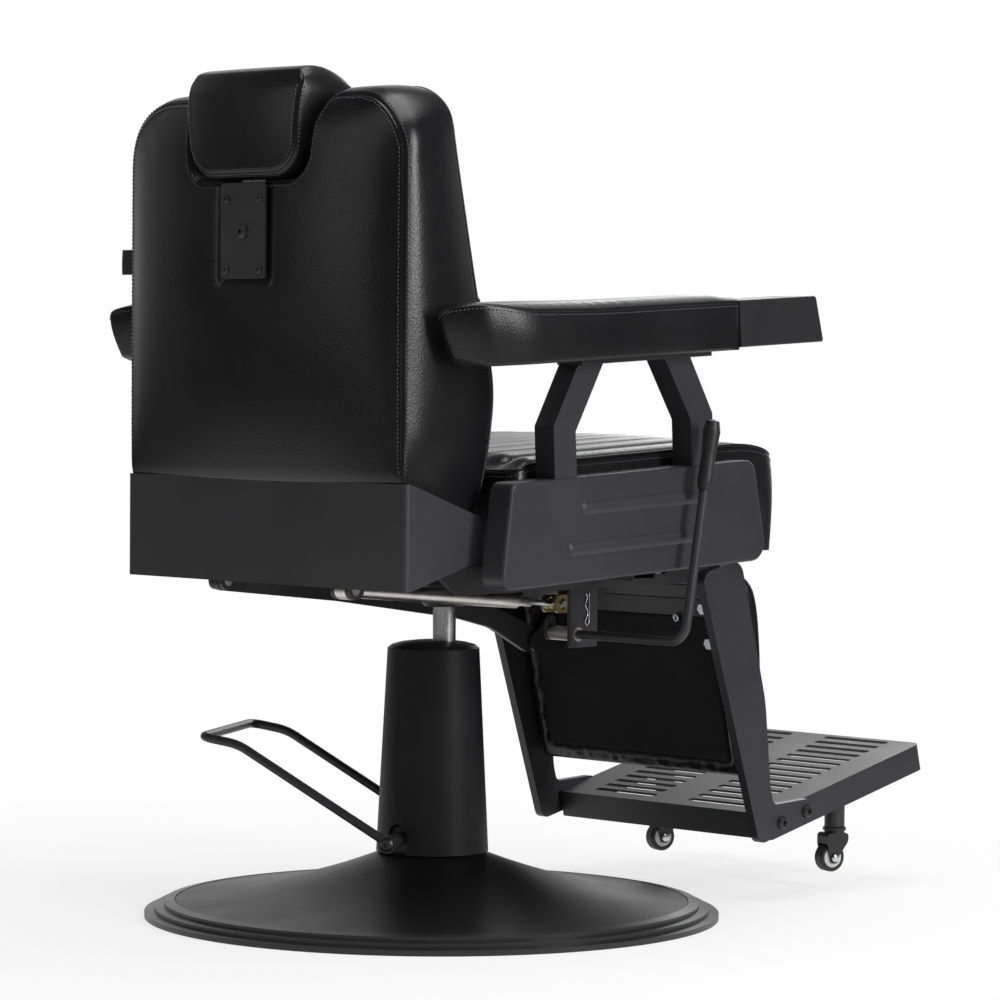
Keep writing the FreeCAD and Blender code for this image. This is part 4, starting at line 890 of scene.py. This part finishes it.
def grow(name, runs, tree, values):
    verts, edges = [], []
    for points, closed in runs:
        ids = list(range(len(verts), len(verts) + len(points)))
        verts += [tuple(q) for q in points]
        edges += list(zip(ids, ids[1:])) + ([(ids[-1], ids[0])] if closed else [])
    mesh = bpy.data.meshes.new(name)
    mesh.from_pydata(verts, edges, [])
    piece = addObject(name, mesh)
    modifier = piece.modifiers.new("grow", "NODES")
    modifier.node_group = tree
    for item in tree.interface.items_tree:
        if item.in_out == "INPUT" and item.name in values:
            modifier[item.identifier] = values[item.name]
    toPlainMesh(piece)
    return piece


def seamRuns(piece, ids, loop, keep, lift):
    runs, current = [], []
    n = len(ids)
    first = next((k for k in range(n) if not keep(loop[k])), None)
    for k in range(n) if first is None else [(first + i) % n for i in range(n)]:
        if not keep(loop[k]):
            if len(current) > 2:
                runs.append((current, False))
            current = []
        elif ids[k] is not None:
            v = piece.data.vertices[ids[k]]
            current.append(v.co + v.normal * lift * mm)
    if len(current) > 2:
        runs.append((current, first is None))
    return runs


thread = {"Pitch": 0.0048, "Size": (0.0019, 0.0008, 0.0008), "Thread": threadFinish}
laid = {"thread": 0.35, "welt": 0.4}
stitched, corded = {}, []
for name, (piece, seams, p, stands, body) in made.items():
    for side, row, keep in p["stitches"]:
        runs = seamRuns(piece, seams[side + row], seams[side + "Loop"], keep, laid["thread"])
        stitched.setdefault(name, []).extend(runs)
    for side, radius, keep in p["welts"]:
        runs = seamRuns(piece, seams[side], seams[side + "Loop"], keep, radius * laid["welt"])
        corded.append((name, radius, runs))


def twinPiece(source, name):
    mesh = source.data.copy()
    mesh.name = name
    mesh.transform(Matrix.Translation((2 * arm["middle"] * mm, 0, 0)))
    return addObject(name, mesh)


leftPad = twinPiece(made["armPadRight"][0], "armPadLeft")
made["armPadLeft"] = (leftPad, None, arm, ("armrest_pad_left",), "seat")

for name, (piece, seams, p, stands, body) in made.items():
    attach(piece, body)
    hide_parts(*stands)
trims = []
for name, runs in stitched.items():
    trims.append((grow(name + "Thread", runs, stitchNodes, thread), made[name][4]))
for name, radius, runs in corded:
    welt = {"Radius": radius * mm, "Cover": weltFinish}
    trims.append((grow(name + "Welt", runs, cordNodes, welt), made[name][4]))
trims.append((twinPiece(bpy.data.objects["armPadRightThread"], "armPadLeftThread"), "seat"))
for piece, body in trims:
    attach(piece, body)
    print(piece.name, len(piece.data.polygons), "faces")
print("pads placed")


# small pieces: dust cover behind the legrest, bare woven tag, spring clip, eye, axle caps

def solidPiece(name, verts, faces, mat, thick=0.0):
    mesh = bpy.data.meshes.new(name)
    mesh.from_pydata([tuple(v * mm) for v in verts], [], faces)
    bm = bmesh.new()
    bm.from_mesh(mesh)
    if thick:
        bmesh.ops.solidify(bm, geom=bm.faces[:], thickness=thick * mm)
    bmesh.ops.recalc_face_normals(bm, faces=bm.faces)
    bm.to_mesh(mesh)
    bm.free()
    for face in mesh.polygons:
        face.use_smooth = True
    mesh.materials.append(mat)
    return addObject(name, mesh)


def gridOf(at, uCount, vCount):
    verts = [at(i / uCount, j / vCount) for j in range(vCount + 1) for i in range(uCount + 1)]
    row = uCount + 1
    faces = [(j + i, j + i + 1, j + row + i + 1, j + row + i)
             for j in range(0, vCount * row, row) for i in range(uCount)]
    return verts, faces


def ringPoint(angle, halfU, halfV):
    return halfU * math.cos(angle), halfV * math.sin(angle)


def turnedCap(profile, placed, turns=20):
    angles = [2 * math.pi * k / turns for k in range(turns)]
    verts = [placed @ Vector((*ringPoint(a, r, r), h)) for r, h in profile for a in angles]
    faces = [(j + k, j + (k + 1) % turns, j + turns + (k + 1) % turns, j + turns + k)
             for j in range(0, turns * (len(profile) - 1), turns) for k in range(turns)]
    faces += [list(range(turns)), list(range(len(verts) - turns, len(verts)))]
    return verts, faces


dust = {"halfX": 157.0, "low": -225.0, "high": -38.0, "off": 0.9, "sag": 0.72}


def dustAt(u, v):
    x = dust["halfX"] * (2 * u - 1)
    z = dust["low"] + (dust["high"] - dust["low"]) * v
    ripple = 0.5 * noise.noise((x * 0.02, z * 0.025, 1.3)) + 0.2 * noise.noise((x * 0.07, z * 0.06, 4.1))
    return legHang @ Vector((x, leg["rear"] + dust["off"] + dust["sag"] * ripple, z))


tag = {"x": (235.0, 258.5), "y": 295.0, "z": (777.0, 807.0), "fold": 0.9}


def tagAt(u, v):
    x0, x1 = tag["x"]
    run = abs(2 * u - 1)
    x = x1 - (x1 - x0) * run
    bend = tag["fold"] * math.copysign(min(run * 6, 1) ** 0.5, 2 * u - 1)
    z = tag["z"][0] + (tag["z"][1] - tag["z"][0]) * v
    return Vector((x, tag["y"] + bend + 0.6 * math.sin(3 * v + 0.4), z))


clip = {"x": -142.6, "wire": 0.9}
clip["path"] = [(-106, 397), (-106, 388), (-106, 376), (-106, 366), (-105.6, 361), (-103.6, 358.2),
                (-100.8, 358.2), (-98.9, 360.5), (-99.4, 364), (-102, 368), (-103.6, 372.5), (-102.4, 377),
                (-99.6, 380.5), (-99.2, 384.5), (-101.8, 388.5), (-102.6, 392), (-100, 396)]
eye = {"at": (-105.0, 8.5, -40.0), "half": (3.2, 4.2), "wire": 1.6, "turns": 24}
axleCap = {"profile": [(5.6, -0.6), (5.6, 0.6), (5.0, 1.7), (3.6, 2.5), (1.6, 2.9), (0.2, 3.0)], "out": 14.5,
           "turn": -16.0, "trail": 7.5, "stem": (149.0, -557.0), "z": 40.5}

zincWire = {"Cover": finishes["zinc_steel"]}
clipRun = [Vector((clip["x"], y, z)) * mm for y, z in clip["path"]]
eyeRun = []
for k in range(eye["turns"]):
    u, v = ringPoint(2 * math.pi * k / eye["turns"], *eye["half"])
    eyeRun.append(legHang @ (Vector(eye["at"]) + Vector((u, 0, v))) * mm)
extras = [
    (solidPiece("legDustCover", *gridOf(dustAt, 60, 36), finishes["dust"], 1.0), "legrest"),
    (solidPiece("wovenTag", *gridOf(tagAt, 24, 24), finishes["weave"], 0.5), "backrest"),
    (grow("springClip", [(clipRun, False)], cordNodes, {"Radius": clip["wire"] * mm, **zincWire}), "seat"),
    (grow("legrestEye", [(eyeRun, True)], cordNodes, {"Radius": eye["wire"] * mm, **zincWire}), "legrest"),
]
for hand, sign in (("left", 1), ("right", -1)):
    stem = Matrix.Translation((sign * axleCap["stem"][0], axleCap["stem"][1], 0))
    turned = stem @ Matrix.Rotation(math.radians(axleCap["turn"]), 4, "Z")
    verts, faces = [], []
    for way in (1, -1):
        cheek = turned @ Matrix.Translation((way * axleCap["out"], axleCap["trail"], axleCap["z"]))
        points, skin = turnedCap(axleCap["profile"], cheek @ Matrix.Rotation(math.radians(90 * way), 4, "Y"))
        faces += [[len(verts) + i for i in f] for f in skin]
        verts += points
    extras.append((solidPiece("axleCaps_" + hand, verts, faces, finishes["zinc_steel"]), "caster_" + hand))
for piece, body in extras:
    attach(piece, body)
print("small pieces placed:", len(extras))


# camera: at the photograph's viewpoint
view = {"focal": 149.993, "sensor": 36.0, "reach": 100.0, "azimuth": 225.269, "pitch": 2.104, "roll": 0.418,
        "at": (-3.643351, 3.515451, 0.693416)}
az, pitch, roll = (math.radians(view[k]) for k in ("azimuth", "pitch", "roll"))
behind = Vector((math.sin(az) * math.cos(pitch), -math.cos(az) * math.cos(pitch), math.sin(pitch)))
right = (-behind).cross(Vector((0, 0, 1))).normalized()
upward = right.cross(-behind)
tiltedRight = right * math.cos(roll) + upward * math.sin(roll)
tiltedUp = upward * math.cos(roll) - right * math.sin(roll)
lens = bpy.data.cameras.new("photoView")
lens.lens = view["focal"]
lens.sensor_width = view["sensor"]
lens.clip_end = view["reach"]
camera = addObject("photoView", lens)
turn = Matrix((tiltedRight, tiltedUp, behind)).transposed().to_4x4()
camera.matrix_world = Matrix.Translation(view["at"]) @ turn
bpy.context.scene.camera = camera


# studio: pale floor, soft boxes, white surround
studio = {"ambient": 0.34, "backdrop": (0.71, -0.7, 0.0), "sides": (0.3, 0.85), "room": 0.07,
          "heights": (0.32, 0.7), "above": 0.15, "floor": 14.0, "floorZ": -0.0005,
          "fade": (0.5, 1.7, 0.72, 1.0), "near": (0.8, 2.6, 1.0, 0.1)}
floorLook = {"Base Color": (0.86, 0.86, 0.86, 1), "Roughness": 0.7, "Specular IOR Level": 0.0}
pureWhite = (1, 1, 1, 1)


def seenDirectly(tree):
    path = addNode(tree, "ShaderNodeLightPath").outputs
    first = combine(tree, "MAXIMUM", path["Is Camera Ray"], path["Is Glossy Ray"])
    return combine(tree, "MAXIMUM", first, path["Is Transmission Ray"])


def cameraOr(tree, level):
    return combine(tree, "MAXIMUM", addNode(tree, "ShaderNodeLightPath").outputs["Is Camera Ray"], level)


def mixInto(tree, output, factor, a, b):
    mix = addNode(tree, "ShaderNodeMixShader", links={0: factor, 1: a.outputs[0], 2: b.outputs[0]})
    tree.links.new(mix.outputs[0], tree.nodes[output].inputs["Surface"])


world = bpy.data.worlds.new("studioWhite")
bpy.context.scene.world = world
world.use_nodes = True
sky = world.node_tree
dim = sky.nodes["Background"]
dim.inputs["Color"].default_value = pureWhite
dim.inputs["Strength"].default_value = studio["ambient"]
heading = addNode(sky, "ShaderNodeTexCoord").outputs["Generated"]
facing = addNode(sky, "ShaderNodeVectorMath", {1: studio["backdrop"]}, {0: heading}, operation="DOT_PRODUCT")
side = remap(sky, facing.outputs["Value"], *studio["sides"], studio["room"], 1.0)
height = addNode(sky, "ShaderNodeSeparateXYZ", links={"Vector": heading}).outputs["Z"]
low = remap(sky, height, *studio["heights"], 1.0, studio["above"])
level = cameraOr(sky, combine(sky, "MULTIPLY", side, low))
white = addNode(sky, "ShaderNodeBackground", {"Color": pureWhite}, {"Strength": level})
mixInto(sky, "World Output", seenDirectly(sky), dim, white)

floorMat, tree, matte, place = startFinish("paleFloor", floorLook)
reach = addNode(tree, "ShaderNodeVectorMath", links={0: place}, operation="LENGTH").outputs["Value"]
fade = remap(tree, reach, *studio["fade"], interpolation_type="SMOOTHSTEP")
level = cameraOr(tree, remap(tree, reach, *studio["near"]))
glow = addNode(tree, "ShaderNodeEmission", {"Color": pureWhite}, {"Strength": level})
mixInto(tree, "Material Output", combine(tree, "MULTIPLY", fade, seenDirectly(tree)), matte, glow)
half = studio["floor"]
corners = [(-half, -half), (half, -half), (half, half), (-half, half)]
floorMesh = bpy.data.meshes.new("paleFloor")
floorMesh.from_pydata([(x, y, studio["floorZ"]) for x, y in corners], [], [(0, 1, 2, 3)])
floorMesh.materials.append(floorMat)
floor = addObject("paleFloor", floorMesh)

softBoxes = {
    "overheadBox": {"at": (-0.5, 0.0, 3.1), "towards": (0, 0, 0.5), "size": (2.2, 2.2), "watts": 58.0},
    "rightBox": {"at": (-3.1, -0.5, 1.55), "towards": (0, 0, 0.8), "size": (0.55, 1.9), "watts": 52.0},
    "leftBox": {"at": (1.5, 3.2, 1.6), "towards": (0, 0, 0.6), "size": (1.0, 2.0), "watts": 6.0},
    "frontBox": {"at": (1.4, -3.0, 1.8), "towards": (0, 0, 0.6), "size": (1.6, 1.8), "watts": 26.0},
}
for name, box in softBoxes.items():
    lamp = bpy.data.lights.new(name, "AREA")
    lamp.shape = "RECTANGLE"
    lamp.size, lamp.size_y = box["size"]
    lamp.energy = box["watts"]
    aim = Vector(box["towards"]) - Vector(box["at"])
    turn = aim.to_track_quat("-Z", "Y").to_matrix().to_4x4()
    addObject(name, lamp).matrix_world = Matrix.Translation(box["at"]) @ turn
bpy.context.scene.view_settings.view_transform = "Standard"
print("studio set")
